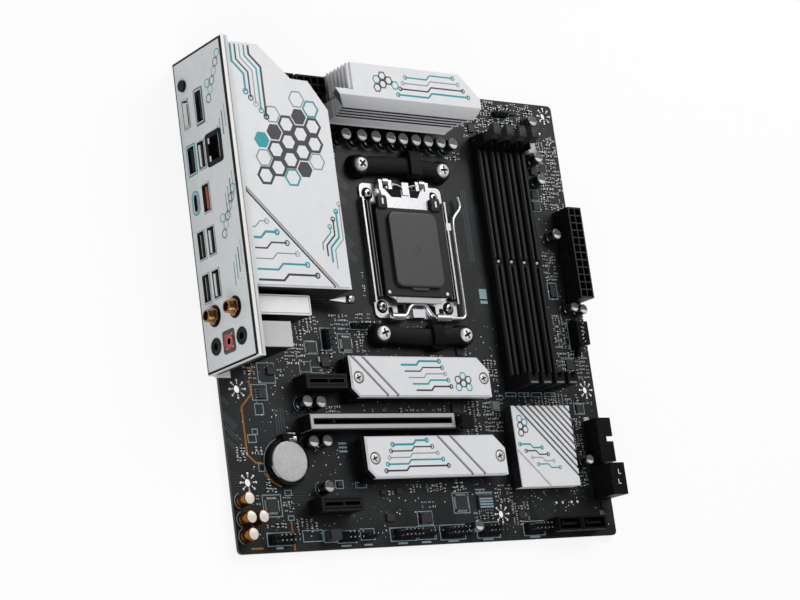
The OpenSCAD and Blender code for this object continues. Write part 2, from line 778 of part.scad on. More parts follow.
// Edge sockets of the drives: a block with a card mouth and a boss for a screw
module drive_sockets() {
    mouth = [4, 20, 1.5];
    mouth_z = top + 1.8;
    color(black) board_frame() for (at = [drive_sink_upper, drive_sink_lower]) {
        near = drive_near(at);
        difference() {
            union() {
                translate([near[0] - drive_socket_l / 2, near[1] - drive_socket_w / 2, top])
                    cube([drive_socket_l, drive_socket_w, drive_socket_h]);
                post(near, top, drive_sink_base, drive_boss_r);
            }
            translate([near[0] + drive_socket_l / 2 - mouth[0] + eps, near[1] - mouth[1] / 2, mouth_z])
                cube(mouth);
            post(near, drive_sink_base - drive_screw_bite - 0.2, drive_sink_base + eps,
                drive_screw_r + shaft_gap);
        }
    }
}
module drive_standoffs() {
    color(steel) board_frame() for (at = [drive_sink_upper, drive_sink_lower]) difference() {
        post(drive_far(at), top, drive_sink_base, drive_boss_r);
        post(drive_far(at), drive_sink_base - drive_thread_l, drive_sink_base + eps,
            drive_screw_r + shaft_gap);
    }
}
// Soft pads between the heatsinks and what they cool
module thermal_pads() {
    pad_in = [12, 2.4];
    left_pad = [1, 7.4];
    left_pad_in = 14;
    upper_pad_in = [22, 20];
    upper_pad_y = 8;
    color(pad_grey) board_frame() {
        box([left_sink_low[0] + left_pad[0], left_sink_low[1] + left_pad_in, top + chip_h],
            [left_sink_low[0] + left_pad[1], left_sink_high[1] - left_pad_in, sink_base]);
        box([upper_left + upper_pad_in[0], upper_foot_y + upper_pad_y, top + chip_h],
            [upper_right - upper_pad_in[1], upper_back - 1, sink_base]);
        translate([chip_sink_x + chip_sink_w / 2, chip_sink_y + chip_sink_d / 2, top + chip_package_h])
            linear_extrude(chip_pad_t) square(chip_package, center = true);
        for (at = [drive_sink_upper, drive_sink_lower])
            box([at[0] + pad_in[0], at[1] + pad_in[1], drive_sink_base - drive_pad_t],
                [at[0] + drive_sink_l - pad_in[0], at[1] + drive_sink_w - pad_in[1], drive_sink_base]);
    }
}

// Voltage regulator parts beside the socket
phase_pitch = 8.6;
upper_phase_pitch = 7.4;
left_phases = 6;
upper_phases = 6;
mosfet = [5.4, 6.2];
choke = [7.2, 7.4, 5];
mosfet_left = [1.4, 16];
mosfet_upper = [23, 8.2];
choke_x = 61;
choke_in = 21;
upper_choke = [14, 0.3];
upper_choke_step = 10.32;
module vrm_mosfets() {
    for (i = [0:left_phases - 1])
        translate(concat(left_sink_low + mosfet_left + [0, i * phase_pitch], [top]))
            cube([mosfet[0], mosfet[1], chip_h]);
    for (i = [0:upper_phases - 1])
        translate([upper_left + mosfet_upper[0] + i * upper_phase_pitch, upper_foot_y + mosfet_upper[1],
            top]) cube([mosfet[0], mosfet[0], chip_h]);
}
module vrm_chokes() {
    color(grey) board_frame() {
        for (i = [0:left_phases - 1])
            translate([choke_x, left_sink_low[1] + choke_in + i * phase_pitch, top]) cube(choke);
        for (i = [0:upper_phases - 1])
            translate([upper_left + upper_choke[0] + i * upper_choke_step, slope_foot_y + upper_choke[1],
                top])
                cube([choke[0], choke[1], choke[2] - 0.4]);
    }
}

// Capacitors: round cans with a rolled shoulder
module can(at, d, h) {
    shoulder = 0.5;
    translate([at[0], at[1], top]) rotate_extrude()
        polygon([[0, 0], [d / 2, 0], [d / 2, h - shoulder], [d / 2 - shoulder, h], [0, h]]);
}
can_d = 8;
can_h = 8.2;
upper_cans = [90.5, 100.6, 109.8, 119.5, 127.7, 136.3, 144.5, 153, 161.3];
upper_can_y = back(30.8);
// Coin cell's place, and its holder, which two cans stand clear of
cell_at = [32.9, back(200.4)];
holder_wall = 1.4;
holder_gap = 0.35;
holder_r = cell_d / 2 + holder_gap + holder_wall;
pair_x = cell_at[0] + holder_r + 1.95;
pair_step = 8.2;
single_cans = [
    [45.8, back(171.4)], [54, back(171.7)], [pair_x, back(191.3)], [pair_x + pair_step, back(191.1)],
    [52.5, back(213.8)],
    [222.4, back(12.6)], [222.6, back(33.8)], [222.6, back(46.4)], [227.6, back(77.6)]
];
edge_cans = [[board_w - 11.4, back(118.8)], [board_w - 5, back(119.8)], [board_w - 17.4, back(203.4)]];
left_can = [76, 24];
edge_can_d = 5.6;
low_can = [143.4, 7.6];
small_can_d = 6.3;
small_can_h = 7;
module polymer_capacitors() {
    color(bright_steel) board_frame() {
        for (x = upper_cans) can([x, upper_can_y], can_d, can_h);
        for (i = [0:left_phases - 1])
            can([left_can[0], left_sink_low[1] + left_can[1] + i * phase_pitch], small_can_d, can_h);
        for (p = single_cans) can(p, small_can_d, small_can_h);
        for (p = edge_cans) can(p, edge_can_d, small_can_h);
        can(low_can, small_can_d, small_can_h);
    }
}
audio_can_d = 6.3;
audio_can_h = 8.4;
audio_cans = [[5, 26], [5, 17], [12, 17], [5, 8.9]];
module audio_capacitors() {
    color(gold) board_frame() for (p = audio_cans) can(p, audio_can_d, audio_can_h);
}

// Memory slots: a grooved body, a tower at the header end and a latch at the other
dimm_x = 183.1;
dimm_low_y = back(164.8);
dimm_body_h = 5.6;
dimm_groove_w = 1.5;
dimm_groove_z = top + 1.4;
tower_d = 6.6;
tower_back = 3.4;
dimm_stop_y = dimm_low_y + tower_back;
dimm_end_y = dimm_stop_y + dimm_module_l;
dimm_key = 64.8;
dimm_key_l = 2;
cheek_t = 0.9;
cheek_h = 11.4;
latch_pin_out = 1.7;
latch_pin_up = 4;
latch_side_gap = 0.2;
pocket_run = 5.4;
slot_run = 2.6;
scoop = [1.5, 1.6, 3];
pocket_floor = 0.7;
pin_short = 0.15;
latch_pin_y = dimm_end_y + latch_pin_out;
latch_pin_z = top + latch_pin_up;
latch_r = dimm_pin_d / 2;
latch_half = dimm_w / 2 - cheek_t - latch_side_gap;
pocket_low_y = latch_pin_y - pocket_run;
slot_high_y = latch_pin_y + slot_run;
latch_top = top + dimm_tower_h;
module dimm_slot(i) {
    x = dimm_x + i * dimm_pitch;
    half = dimm_w / 2;
    color(black) board_frame() difference() {
        union() {
            box([x - half, dimm_low_y, top], [x + half, slot_high_y, top + dimm_body_h]);
            box([x - half, dimm_low_y, top], [x + half, dimm_low_y + tower_d, latch_top]);
            for (side = [-1, 1])
                translate([x + side * (half - cheek_t / 2) - cheek_t / 2, pocket_low_y + 1, top])
                    cube([cheek_t, slot_high_y - pocket_low_y - 1, cheek_h]);
        }
        // Groove for the module, with the key left standing
        for (span = [
            [dimm_stop_y, dimm_stop_y + dimm_key - dimm_key_l / 2],
            [dimm_stop_y + dimm_key + dimm_key_l / 2, slot_high_y]
        ])
            box([x - dimm_groove_w / 2, span[0], dimm_groove_z],
                [x + dimm_groove_w / 2, span[1] + eps, latch_top + eps]);
        // Scooped front of the tower
        box([x - half + scoop[0], dimm_low_y + tower_d - scoop[1], top + dimm_body_h + scoop[2]],
            [x + half - scoop[0], dimm_low_y + tower_d + eps, latch_top + eps]);
        // Pocket and pivot of the latch
        box([x - half + cheek_t, pocket_low_y, top + pocket_floor],
            [x + half - cheek_t, slot_high_y + eps, latch_top]);
        bar_x(x - half - eps, x + half + eps, latch_pin_y, latch_pin_z, latch_r + shaft_gap);
    }
}
module dimm_slot_1() {
    dimm_slot(0);
}
module dimm_slot_2() {
    dimm_slot(1);
}
module dimm_slot_3() {
    dimm_slot(2);
}
module dimm_slot_4() {
    dimm_slot(3);
}
// Latch: side view drawn in Y and Z, as thick as the pocket allows
module dimm_latch(i) {
    x = dimm_x + i * dimm_pitch;
    y = latch_pin_y;
    z = latch_pin_z;
    thumb = 5;
    hook = 1.3;
    profile = [
        [y - 3.6, z - 2.4], [y + 0.8, z - 2.4], [y + 2, z - 1], [y + 2.2, latch_top - 5],
            [y + thumb, latch_top - 1.4],
        [y + thumb, latch_top], [y - 1.3, latch_top], [y - 1.3, latch_top - 1.6],
            [y - 1.3 - hook, latch_top - 3],
        [y - 1.3 - hook, latch_top - 4.4], [y - 1.3, latch_top - 5.2], [y - 1.3, z - 0.6],
            [y - 3.6, z - 1.4]
    ];
    color(grey) board_frame() union() {
        translate([x - latch_half, 0, 0]) rotate([90, 0, 90]) linear_extrude(2 * latch_half)
            polygon(profile);
        bar_x(x - dimm_w / 2 + pin_short, x + dimm_w / 2 - pin_short, y, z, latch_r);
    }
}
module dimm_latch_1() {
    dimm_latch(0);
}
module dimm_latch_2() {
    dimm_latch(1);
}
module dimm_latch_3() {
    dimm_latch(2);
}
module dimm_latch_4() {
    dimm_latch(3);
}

// Card slots
card_x = 43.4;
long_slot_y = back(182.4);
upper_slot_y = long_slot_y + card_pitch;
lower_slot_y = long_slot_y - 2 * card_pitch;
card_groove_w = 1.9;
card_groove_depth = 8.2;
card_key = 13.6;
card_key_l = 1.6;
card_top = top + card_slot_h;
module card_slot(y, l) {
    end = 1.5;
    difference() {
        box([card_x, y - card_slot_w / 2, top], [card_x + l, y + card_slot_w / 2, card_top]);
        for (span = [[end, card_key - card_key_l / 2], [card_key + card_key_l / 2, l - end]])
            box([card_x + span[0], y - card_groove_w / 2, card_top - card_groove_depth],
                [card_x + span[1], y + card_groove_w / 2, card_top + eps]);
    }
}
module card_slot_upper() {
    color(black) board_frame() card_slot(upper_slot_y, short_slot_l);
}
module card_slot_lower() {
    color(black) board_frame() card_slot(lower_slot_y, short_slot_l);
}
// The long slot has a fork at its end, in which the card latch turns
card_latch_out = 4;
card_latch_up = 3.4;
fork_run = 2.8;
fork_in = 0.6;
fork_floor = 0.5;
latch_x = card_x + long_slot_l + card_latch_out;
latch_z = top + card_latch_up;
fork_end = latch_x + fork_run;
fork_h = 6.6;
fork_wall = 1.2;
card_latch_half = card_slot_w / 2 - fork_wall - latch_side_gap;
card_latch_r = card_pin_d / 2;
module card_slot_long() {
    color(black) board_frame() difference() {
        union() {
            card_slot(long_slot_y, long_slot_l);
            box([card_x + long_slot_l - eps, long_slot_y - card_slot_w / 2, top],
                [fork_end, long_slot_y + card_slot_w / 2, top + fork_h]);
        }
        box([card_x + long_slot_l + fork_in, long_slot_y - card_slot_w / 2 + fork_wall, top + fork_floor],
            [fork_end + eps, long_slot_y + card_slot_w / 2 - fork_wall, top + fork_h + eps]);
        bar_y(long_slot_y - card_slot_w / 2 - eps, long_slot_y + card_slot_w / 2 + eps, latch_x, latch_z,
            card_latch_r + shaft_gap);
    }
}
// Steel sleeve round the long slot's mouth
armor_t = 0.4;
armor_gap = 0.05;
armor_low = top + 1.2;
armor_mouth = 3.2;
module card_slot_armor() {
    half = card_slot_w / 2 + armor_gap;
    low_x = card_x - armor_gap;
    high_x = card_x + long_slot_l + armor_gap;
    mouth_in = 1.2;
    color(bright_steel) board_frame() difference() {
        box([low_x - armor_t, long_slot_y - half - armor_t, armor_low],
            [high_x + armor_t, long_slot_y + half + armor_t, card_top + armor_gap + armor_t]);
        box([low_x, long_slot_y - half, armor_low - eps],
            [high_x, long_slot_y + half, card_top + armor_gap]);
        box([low_x + mouth_in, long_slot_y - armor_mouth / 2, armor_low],
            [high_x - mouth_in, long_slot_y + armor_mouth / 2, card_top + 2]);
        // Room for the fork at the latch end
        box([high_x - eps, long_slot_y - half - armor_t - eps, armor_low - eps],
            [high_x + armor_t + eps, long_slot_y + half + armor_t + eps, top + fork_h + move_gap]);
    }
}
module card_latch() {
    pad_l = 12;
    pad_low = 2.2;
    pad_high = 4;
    pad_in = 4.4;
    x = latch_x;
    z = latch_z;
    side = [
        [x - 1.4, z - 1.6], [x + 1.6, z - 1.6], [x + 2.4, z + 1.6], [x + pad_l, z + 2.4],
            [x + pad_l, z + 4],
        [x + 1.4, z + 3.6], [x + 0.6, z + 12.6], [x - 2.2, z + 12.6], [x - 2.2, z + 11], [x - 1.2, z + 10]
    ];
    color(black) board_frame() union() {
        translate([0, long_slot_y + card_latch_half, 0]) rotate([90, 0, 0])
            linear_extrude(2 * card_latch_half) polygon(side);
        box([x + pad_in, long_slot_y - card_slot_w / 2, z + pad_low],
            [x + pad_l, long_slot_y + card_slot_w / 2, z + pad_high]);
        bar_y(long_slot_y - card_slot_w / 2 + pin_short, long_slot_y + card_slot_w / 2 - pin_short, x, z,
            card_latch_r);
    }
}

// Power housings: a grid of square cavities open at the top
power_wall = 0.6;
power_edge = 1.2;
power_floor = 2.4;
main_columns = 12;
cpu_columns = 4;
main_power = [board_w - 11, back(115)];
cpu_power = [[40.2, back(12.4)], [59.6, back(12.4)]];
pin_side = 1.1;
power_pin_down = 3;
power_pin_top = top + power_h - power_pin_down;
pin_tail = 1.7;
function grid(at, nx, ny,
    pitch) = [for (i = [0:nx - 1], j = [0:ny - 1]) at + [(i + 0.5) * pitch, (j + 0.5) * pitch]];
function power_points(at, nx, ny) = grid(at + [power_edge / 2, power_edge / 2], nx, ny, power_pitch);
module power_housing(at, nx, ny) {
    side = power_pitch - power_wall;
    difference() {
        translate([at[0], at[1], top])
            cube([nx * power_pitch + power_edge, ny * power_pitch + power_edge, power_h]);
        for (p = power_points(at, nx, ny)) {
            translate([p[0] - side / 2, p[1] - side / 2, top + power_floor]) cube([side, side, power_h]);
            translate([p[0] - pin_side / 2 - pin_gap, p[1] - pin_side / 2 - pin_gap, top - eps])
                cube([pin_side + 2 * pin_gap, pin_side + 2 * pin_gap, power_h]);
        }
    }
}
module main_power_housing() {
    latch = [1.4, 6, 9];
    color(black) board_frame() union() {
        power_housing(main_power, 2, main_columns);
        translate([main_power[0] - latch[0], main_power[1] + main_columns * power_pitch / 2 - latch[1] / 2,
            top]) cube(latch + [eps, 0, 0]);
    }
}
module cpu_power_housings() {
    color(black) board_frame() for (at = cpu_power) power_housing(at, cpu_columns, 2);
}
all_power_points = concat(
    power_points(main_power, 2, main_columns),
    [for (at = cpu_power) each power_points(at, cpu_columns, 2)]
);
module power_pins() {
    color(gold) board_frame() for (p = all_power_points)
        translate([p[0] - pin_side / 2, p[1] - pin_side / 2, -pin_tail])
            cube([pin_side, pin_side, power_pin_top + pin_tail]);
}

// Rear ports, each given by its middle along the edge and its height
port_proud = 0.2;
stack_gap = 0.6;
port_face = -panel_out - port_proud;
stack_face = -panel_out + panel_t + stack_gap;
port_wall = 0.45;
lan_y = back(50.5);
video_y = back(26.6);
round_y = back(72.2);
usb_ys = [back(93.7), back(115.2)];
low_z = 5.4;
high_z = 14.2;
lan_z = 25.9;
wide_port = [15, 5.9, 4.9];
keyed_port = [17, 6.4, 17.1];
lan = [14.7, 12.3];
round_port = [9.4, 3.7, 4.7];
antenna_y = back(129.9);
antenna_zs = [9.3, 27.3];
audio_y = back(144.7);
audio_zs = [7.8, 19.05, 30.3];
button_y = back(12.1);
button_z = 4.9;
// Outer shell of a port and the room inside it
module port_shell(y, z, w, h, depth) {
    box([port_face, y - w / 2, z - h / 2], [stack_face + depth, y + w / 2, z + h / 2]);
}
module port_room(y, z, w, h, depth) {
    box([port_face - eps, y - w / 2 + port_wall, z - h / 2 + port_wall],
        [port_face + depth, y + w / 2 - port_wall, z + h / 2 - port_wall]);
}
module port_tongue(y, z, w, t, depth) {
    box([port_face + tongue_in, y - w / 2, z - t / 2], [port_face + depth + eps, y + w / 2, z + t / 2]);
}
module port_block(y, w, depth, h) {
    box([stack_face, y - w / 2, top], [depth, y + w / 2, h]);
}
port_depth = 12;
usb_stack_d = 15;
stack_cap = 0.4;
tongue_in = 1.2;
tongue_w = 11.2;
tongue_t = 1.9;
tongue_up = 1.1;
module usb_shells(y, zs) {
    for (z = zs) port_shell(y, z, usb_w, usb_h, 1);
}
module usb_rooms(y, zs) {
    for (z = zs) difference() {
        port_room(y, z, usb_w, usb_h, port_depth);
        port_tongue(y, z + tongue_up, tongue_w, tongue_t, port_depth + 1);
    }
}
module usb_port_stacks() {
    color(steel) board_frame() for (y = usb_ys) difference() {
        union() {
            port_block(y, usb_w, usb_stack_d, high_z + usb_h / 2 + stack_cap);
            usb_shells(y, [low_z, high_z]);
        }
        usb_rooms(y, [low_z, high_z]);
    }
}
module round_port_stack() {
    r = round_port[1] / 2;
    shell = 0.35;
    depth = 7;
    inner = [6.4, 0.7];
    half = round_port[0] / 2 - r;
    color(steel) board_frame() difference() {
        union() {
            port_block(round_y, usb_w, usb_stack_d, high_z + usb_h / 2 + stack_cap);
            usb_shells(round_y, [high_z]);
            for (side = [-1, 1]) bar_x(port_face, stack_face + 1, round_y + side * half, round_port[2], r);
            port_shell(round_y, round_port[2], 2 * half, round_port[1], 1);
        }
        usb_rooms(round_y, [high_z]);
        difference() {
            union() {
                for (side = [-1, 1])
                    bar_x(port_face - eps, port_face + depth, round_y + side * half, round_port[2],
                        r - shell);
                box([port_face - eps, round_y - half, round_port[2] - r + shell],
                    [port_face + depth, round_y + half, round_port[2] + r - shell]);
            }
            port_tongue(round_y, round_port[2], inner[0], inner[1], depth + 1);
        }
    }
}
module lan_port_stack() {
    lan_depth = 13;
    lan_stack_d = 21;
    side = 0.6;
    plug = [11.8, -3.4, 4.4];
    clip = [6.2, -5.2];
    color(steel) board_frame() difference() {
        union() {
            port_block(lan_y, lan[0] + 2 * side, lan_stack_d, lan_z + lan[1] / 2 + side);
            usb_shells(lan_y, [low_z, high_z]);
            port_shell(lan_y, lan_z, lan[0], lan[1], 1);
        }
        usb_rooms(lan_y, [low_z, high_z]);
        box([port_face - eps, lan_y - plug[0] / 2, lan_z + plug[1]],
            [port_face + lan_depth, lan_y + plug[0] / 2, lan_z + plug[2]]);
        box([port_face - eps, lan_y - clip[0] / 2, lan_z + clip[1]],
            [port_face + lan_depth, lan_y + clip[0] / 2, lan_z + plug[1] + eps]);
    }
}
module video_port_stack() {
    depth = 10;
    stack_d = 16;
    slim = 0.4;
    wide_tongue = [10.4, 1.2, 0.3];
    keyed_tongue = [11.6, 1.2, -0.2];
    color(steel) board_frame() difference() {
        union() {
            port_block(video_y, keyed_port[0], stack_d, keyed_port[2] + keyed_port[1] / 2 + 1);
            port_shell(video_y, wide_port[2], wide_port[0], wide_port[1], 1);
            port_shell(video_y, keyed_port[2], keyed_port[0] - slim, keyed_port[1], 1);
        }
        difference() {
            port_room(video_y, wide_port[2], wide_port[0], wide_port[1], depth);
            port_tongue(video_y, wide_port[2] + wide_tongue[2], wide_tongue[0], wide_tongue[1], depth + 1);
        }
        difference() {
            port_room(video_y, keyed_port[2], keyed_port[0] - slim, keyed_port[1], depth);
            port_tongue(video_y, keyed_port[2] + keyed_tongue[2], keyed_tongue[0], keyed_tongue[1],
                depth + 1);
        }
    }
}
jack_w = 12.2;
jack_barrel_r = 3.7;
// Depth of each jack's bore, lowest first
jack_depths = [15, 14.4, 13.8];
jack_block_h = 35.6;
jack_block_d = 22;
module audio_jack_block() {
    color(white_paint) board_frame() difference() {
        union() {
            box([stack_face, audio_y - jack_w / 2, top],
                [jack_block_d, audio_y + jack_w / 2, jack_block_h]);
            for (z = audio_zs) bar_x(port_face, stack_face + 1, audio_y, z, jack_barrel_r);
        }
        for (i = [0:2]) {
            bar_x(port_face - eps, port_face + jack_depths[i], audio_y, audio_zs[i], jack_d / 2);
        }
    }
}
wifi_low = [5.6, antenna_y - 4.9];
wifi_size = [30.4, 9.7];
wifi_h = 34;
module wifi_module() {
    color(white_paint) board_frame() box(concat(wifi_low, [top]), concat(wifi_low + wifi_size, [wifi_h]));
}
antenna_r = 3.1;
antenna_socket_r = 2.3;
antenna_socket_l = 6;
antenna_nut_t = 2;
antenna_nut_r = 4.5;
module antenna_connectors() {
    color(gold) board_frame() for (z = antenna_zs) difference() {
        union() {
            bar_x(-antenna_out, wifi_low[0], antenna_y, z, antenna_r);
            translate([-panel_out - antenna_nut_t - 0.2, antenna_y, z])
                rotate([0, 90, 0]) cylinder(r = antenna_nut_r, h = antenna_nut_t, $fn = 6);
            bar_x(-panel_out + panel_t + 0.1, wifi_low[0] - 2, antenna_y, z, antenna_r + 1);
        }
        bar_x(-antenna_out - eps, -antenna_out + antenna_socket_l, antenna_y, z, antenna_socket_r);
    }
}
// Rear panel: a folded sheet with a cut-out for each port
panel_low_y = y_high - panel_l;
board_room = 0.35;
module panel_cut(y, z, w, h) {
    translate([-panel_out - 1, y - w / 2 - cut_gap, z - h / 2 - cut_gap])
        cube([panel_t + 2, w + 2 * cut_gap, h + 2 * cut_gap]);
}
module panel_hole(y, z, r) {
    bar_x(-panel_out - 1, -panel_out + panel_t + 1, y, z, r + cut_gap);
}
module rear_panel() {
    color(steel) board_frame() difference() {
        box([-panel_out, panel_low_y, -under_h],
            [-panel_out + panel_t + panel_rim, y_high, -under_h + panel_h]);
        box([-panel_out + panel_t, panel_low_y + panel_t, -under_h + panel_t],
            [-panel_out + panel_t + panel_rim + eps, y_high - panel_t, -under_h + panel_h - panel_t]);
        for (y = concat(usb_ys, [lan_y]), z = [low_z, high_z]) panel_cut(y, z, usb_w, usb_h);
        panel_cut(round_y, high_z, usb_w, usb_h);
        panel_cut(round_y, round_port[2], round_port[0] - round_port[1], round_port[1]);
        for (side = [-1, 1])
            panel_hole(round_y + side * (round_port[0] - round_port[1]) / 2, round_port[2],
                round_port[1] / 2);
        panel_cut(lan_y, lan_z, lan[0], lan[1]);
        panel_cut(video_y, wide_port[2], wide_port[0], wide_port[1]);
        panel_cut(video_y, keyed_port[2], keyed_port[0], keyed_port[1]);
        for (z = audio_zs) panel_hole(audio_y, z, jack_barrel_r);
        for (z = antenna_zs) panel_hole(antenna_y, z, antenna_r);
        panel_hole(button_y, button_z, button_d / 2);
        // Board slides in over the lower fold
        box([-board_room, panel_low_y - 1, -board_room], [panel_rim, y_high + 1, top + board_room]);
    }
}
// Update button and its switch
switch_half = 4;
switch_d = 6;
stem_room = 3.6;
stem_l = 2;
button_proud = 1.3;
stem_r = 1.4;
switch_face = -0.5;
module update_switch() {
    color(black) board_frame() difference() {
        box([switch_face, button_y - switch_half, top],
            [switch_d, button_y + switch_half, button_z + switch_half]);
        bar_x(switch_face - eps, switch_face + stem_room, button_y, button_z, stem_r + shaft_gap);
    }
}
module update_button() {
    head_back = switch_face - move_gap - button_travel;
    color(black) board_frame() union() {
        bar_x(-panel_out - button_proud, head_back, button_y, button_z, button_d / 2);
        bar_x(head_back - eps, switch_face + stem_l, button_y, button_z, stem_r);
    }
}

// Board-edge ports for the front of a case, open towards the power edge
usb_header_low = [board_w - 12, back(205.4)];
usb_header_size = [10.2, 24];
usb_header_top = 12;
module usb_header() {
    low = usb_header_low;
    high = low + usb_header_size;
    roof = usb_header_top;
    notch = [4.6, 2.8];
    notch_y = low[1] + 11;
    wall = 1.2;
    back_wall = 2;
    blade = [8, 3, 4.4, 6.2];
    color(black) board_frame() difference() {
        box(concat(low, [top]), concat(high, [roof]));
        difference() {
            box([low[0] + back_wall, low[1] + wall, top + wall], [high[0] + eps, high[1] - wall, roof - wall]);
            box([low[0], low[1] + blade[1], top + blade[2]],
                [low[0] + blade[0], high[1] - blade[1], top + blade[3]]);
        }
        box([high[0] - notch[0], notch_y, roof - wall - eps], [high[0] + eps, notch_y + notch[1], roof + eps]);
    }
}
// Drive ports: an L-shaped tongue stands in each mouth
drive_port = [16.6, 7.4];
drive_port_wall = 1;
mouth_depth = 6;
tongue = [10.4, 1.3, 5];
tongue_foot = 1.8;
module drive_mouth() {
    difference() {
        translate([-drive_port[0] / 2 + drive_port_wall, -drive_port[1] / 2 + drive_port_wall,
            -mouth_depth])
            cube([drive_port[0] - 2 * drive_port_wall, drive_port[1] - 2 * drive_port_wall,
                mouth_depth + eps]);
        translate([-tongue[0] / 2, -tongue[1] / 2, -mouth_depth - eps]) cube(tongue);
        translate([-tongue[0] / 2, -tongue[1] / 2, -mouth_depth - eps])
            cube([tongue[1], tongue[1] * tongue_foot, tongue[2]]);
    }
}
drive_stack_low = [board_w - 12, back(224.2)];
drive_stack_size = [10.4, 17.2];
drive_stack_top = 17.2;
drive_stack_zs = [3.9, 11.7];
module drive_port_stack() {
    color(black) board_frame() difference() {
        box(concat(drive_stack_low, [top]), concat(drive_stack_low + drive_stack_size, [drive_stack_top]));
        for (z = drive_stack_zs)
            translate([drive_stack_low[0] + drive_stack_size[0],
                drive_stack_low[1] + drive_stack_size[1] / 2, top + z])
                rotate([90, 0, 90]) drive_mouth();
    }
}
drive_lower = [[board_w - 39.2, 6.4], [board_w - 22, 6.4]];
drive_lower_h = 8;
module drive_ports_lower() {
    color(black) board_frame() for (at = drive_lower) difference() {
        translate([at[0] - drive_port[0] / 2, at[1] - drive_port[1] / 2, top])
            cube([drive_port[0], drive_port[1], drive_lower_h]);
        translate([at[0], at[1], top + drive_lower_h]) drive_mouth();
    }
}

// Pin headers: the middle, the columns and the rows of each
header_pitch = 2.54;
header_pin = 0.64;
header_base_h = 2.5;
header_pin_h = 8.6;
header_tail = 1.4;
edge_row = 6;
pin_grids = [
    [[25, edge_row], 5, 2], [[64, edge_row], 4, 2], [[77, edge_row], 3, 1], [[100, edge_row], 5, 2],
        [[114, edge_row], 4, 1],
    [[130.6, edge_row], 5, 2], [[154.8, edge_row], 5, 2], [[186, edge_row], 5, 2],
    [[66.4, back(138.4)], 1, 4], [[board_w - 9, back(129.6)], 1, 4], [[board_w - 9, back(141)], 1, 3],
    [[204, back(8.4)], 4, 1], [[88, back(131)], 4, 1]
];
function header_points(g) = grid(
    g[0] - [g[1] * header_pitch / 2, g[2] * header_pitch / 2], g[1], g[2], header_pitch
);
all_header_points = [for (g = pin_grids) each header_points(g)];
module pin_headers() {
    color(black) board_frame() for (g = pin_grids) translate([0, 0, top]) linear_extrude(header_base_h)
        difference() {
        translate(g[0]) square([g[1] * header_pitch, g[2] * header_pitch], center = true);
        for (p = header_points(g)) translate(p) square(header_pin + 2 * pin_gap, center = true);
    }
}
module header_pins() {
    color(gold) board_frame() for (p = all_header_points)
        translate([p[0] - header_pin / 2, p[1] - header_pin / 2, -header_tail])
            cube([header_pin, header_pin, header_tail + top + header_pin_h]);
}

// Coin cell in a round holder with a spring tab at one side
holder_floor = 1.4;
holder_h = 4;
spring_tab = [6, 1.6, 1.2];
finger_gap = 7;
module battery_holder() {
    r = holder_r - holder_wall;
    color(black) board_frame() difference() {
        union() {
            post(cell_at, top, top + holder_h, holder_r);
            translate([cell_at[0] - spring_tab[0] / 2, cell_at[1], top])
                cube([spring_tab[0], holder_r + spring_tab[1], holder_h + spring_tab[2]]);
        }
        post(cell_at, top + holder_floor, top + holder_h + 2, r);
        // Finger gaps for lifting the cell out
        for (turn = [210, 330]) translate([cell_at[0], cell_at[1], top + holder_floor]) rotate(turn)
            translate([0, -finger_gap / 2, 0]) cube([r + 2 * holder_wall, finger_gap, holder_h + 2]);
    }
}
module coin_cell() {
    rim = 0.8;
    floor_z = top + holder_floor;
    color(bright_steel) board_frame() translate([cell_at[0], cell_at[1], floor_z]) rotate_extrude()
        polygon([[0, 0], [cell_d / 2 - rim, 0], [cell_d / 2, rim], [cell_d / 2, cell_t - rim / 2],
            [cell_d / 2 - rim / 2, cell_t], [0, cell_t]]);
}

// Flat chips: middle, width, depth and height
chips = [
    [[chip_sink_x + chip_sink_w / 2, chip_sink_y + chip_sink_d / 2], chip_package, chip_package,
        chip_package_h],
    [[22, 22.6], 9, 9, 1.2], [[138.8, 20.6], 9.4, 9.4, 1.2], [[114.2, 13.6], 7, 5.2, 1.6],
    [[78.8, back(140.4)], 6.6, 7.2, 1], [[64, back(150)], 5, 5, 1], [[144, back(183)], 6, 6, 1],
        [[144, back(174)], 6, 5, 1],
    [[154.6, 20.4], 10, 7, 1.4], [[168, back(196)], 6, 6, 1], [[92, 14.6], 5, 4, 1],
        [[228, back(150)], 5, 5, 1]
];
module board_chips() {
    color(black) board_frame() {
        for (c = chips) translate([c[0][0] - c[1] / 2, c[0][1] - c[2] / 2, top]) cube([c[1], c[2], c[3]]);
        vrm_mosfets();
    }
}

// Bare board with every hole that something passes through
module pcb() {
    color(board_black) board_frame() linear_extrude(board_t) difference() {
        round_rect(board_w, board_d, board_corner_r);
        for (p = standoff_points) translate(p) circle(d = standoff_hole_d);
        for (p = cooler_points) translate(p) circle(r = post_r + pin_gap);
        for (p = frame_points) translate(p) circle(r = bush_r + pin_gap);
        for (p = sink_screw_points) translate(p) circle(r = sink_screw_r + pin_gap);
        for (p = all_power_points) translate(p) circle(d = pin_side * sqrt(2) + 2 * pin_gap);
        for (p = all_header_points) translate(p) circle(d = header_pin * sqrt(2) + 2 * pin_gap);
    }
}

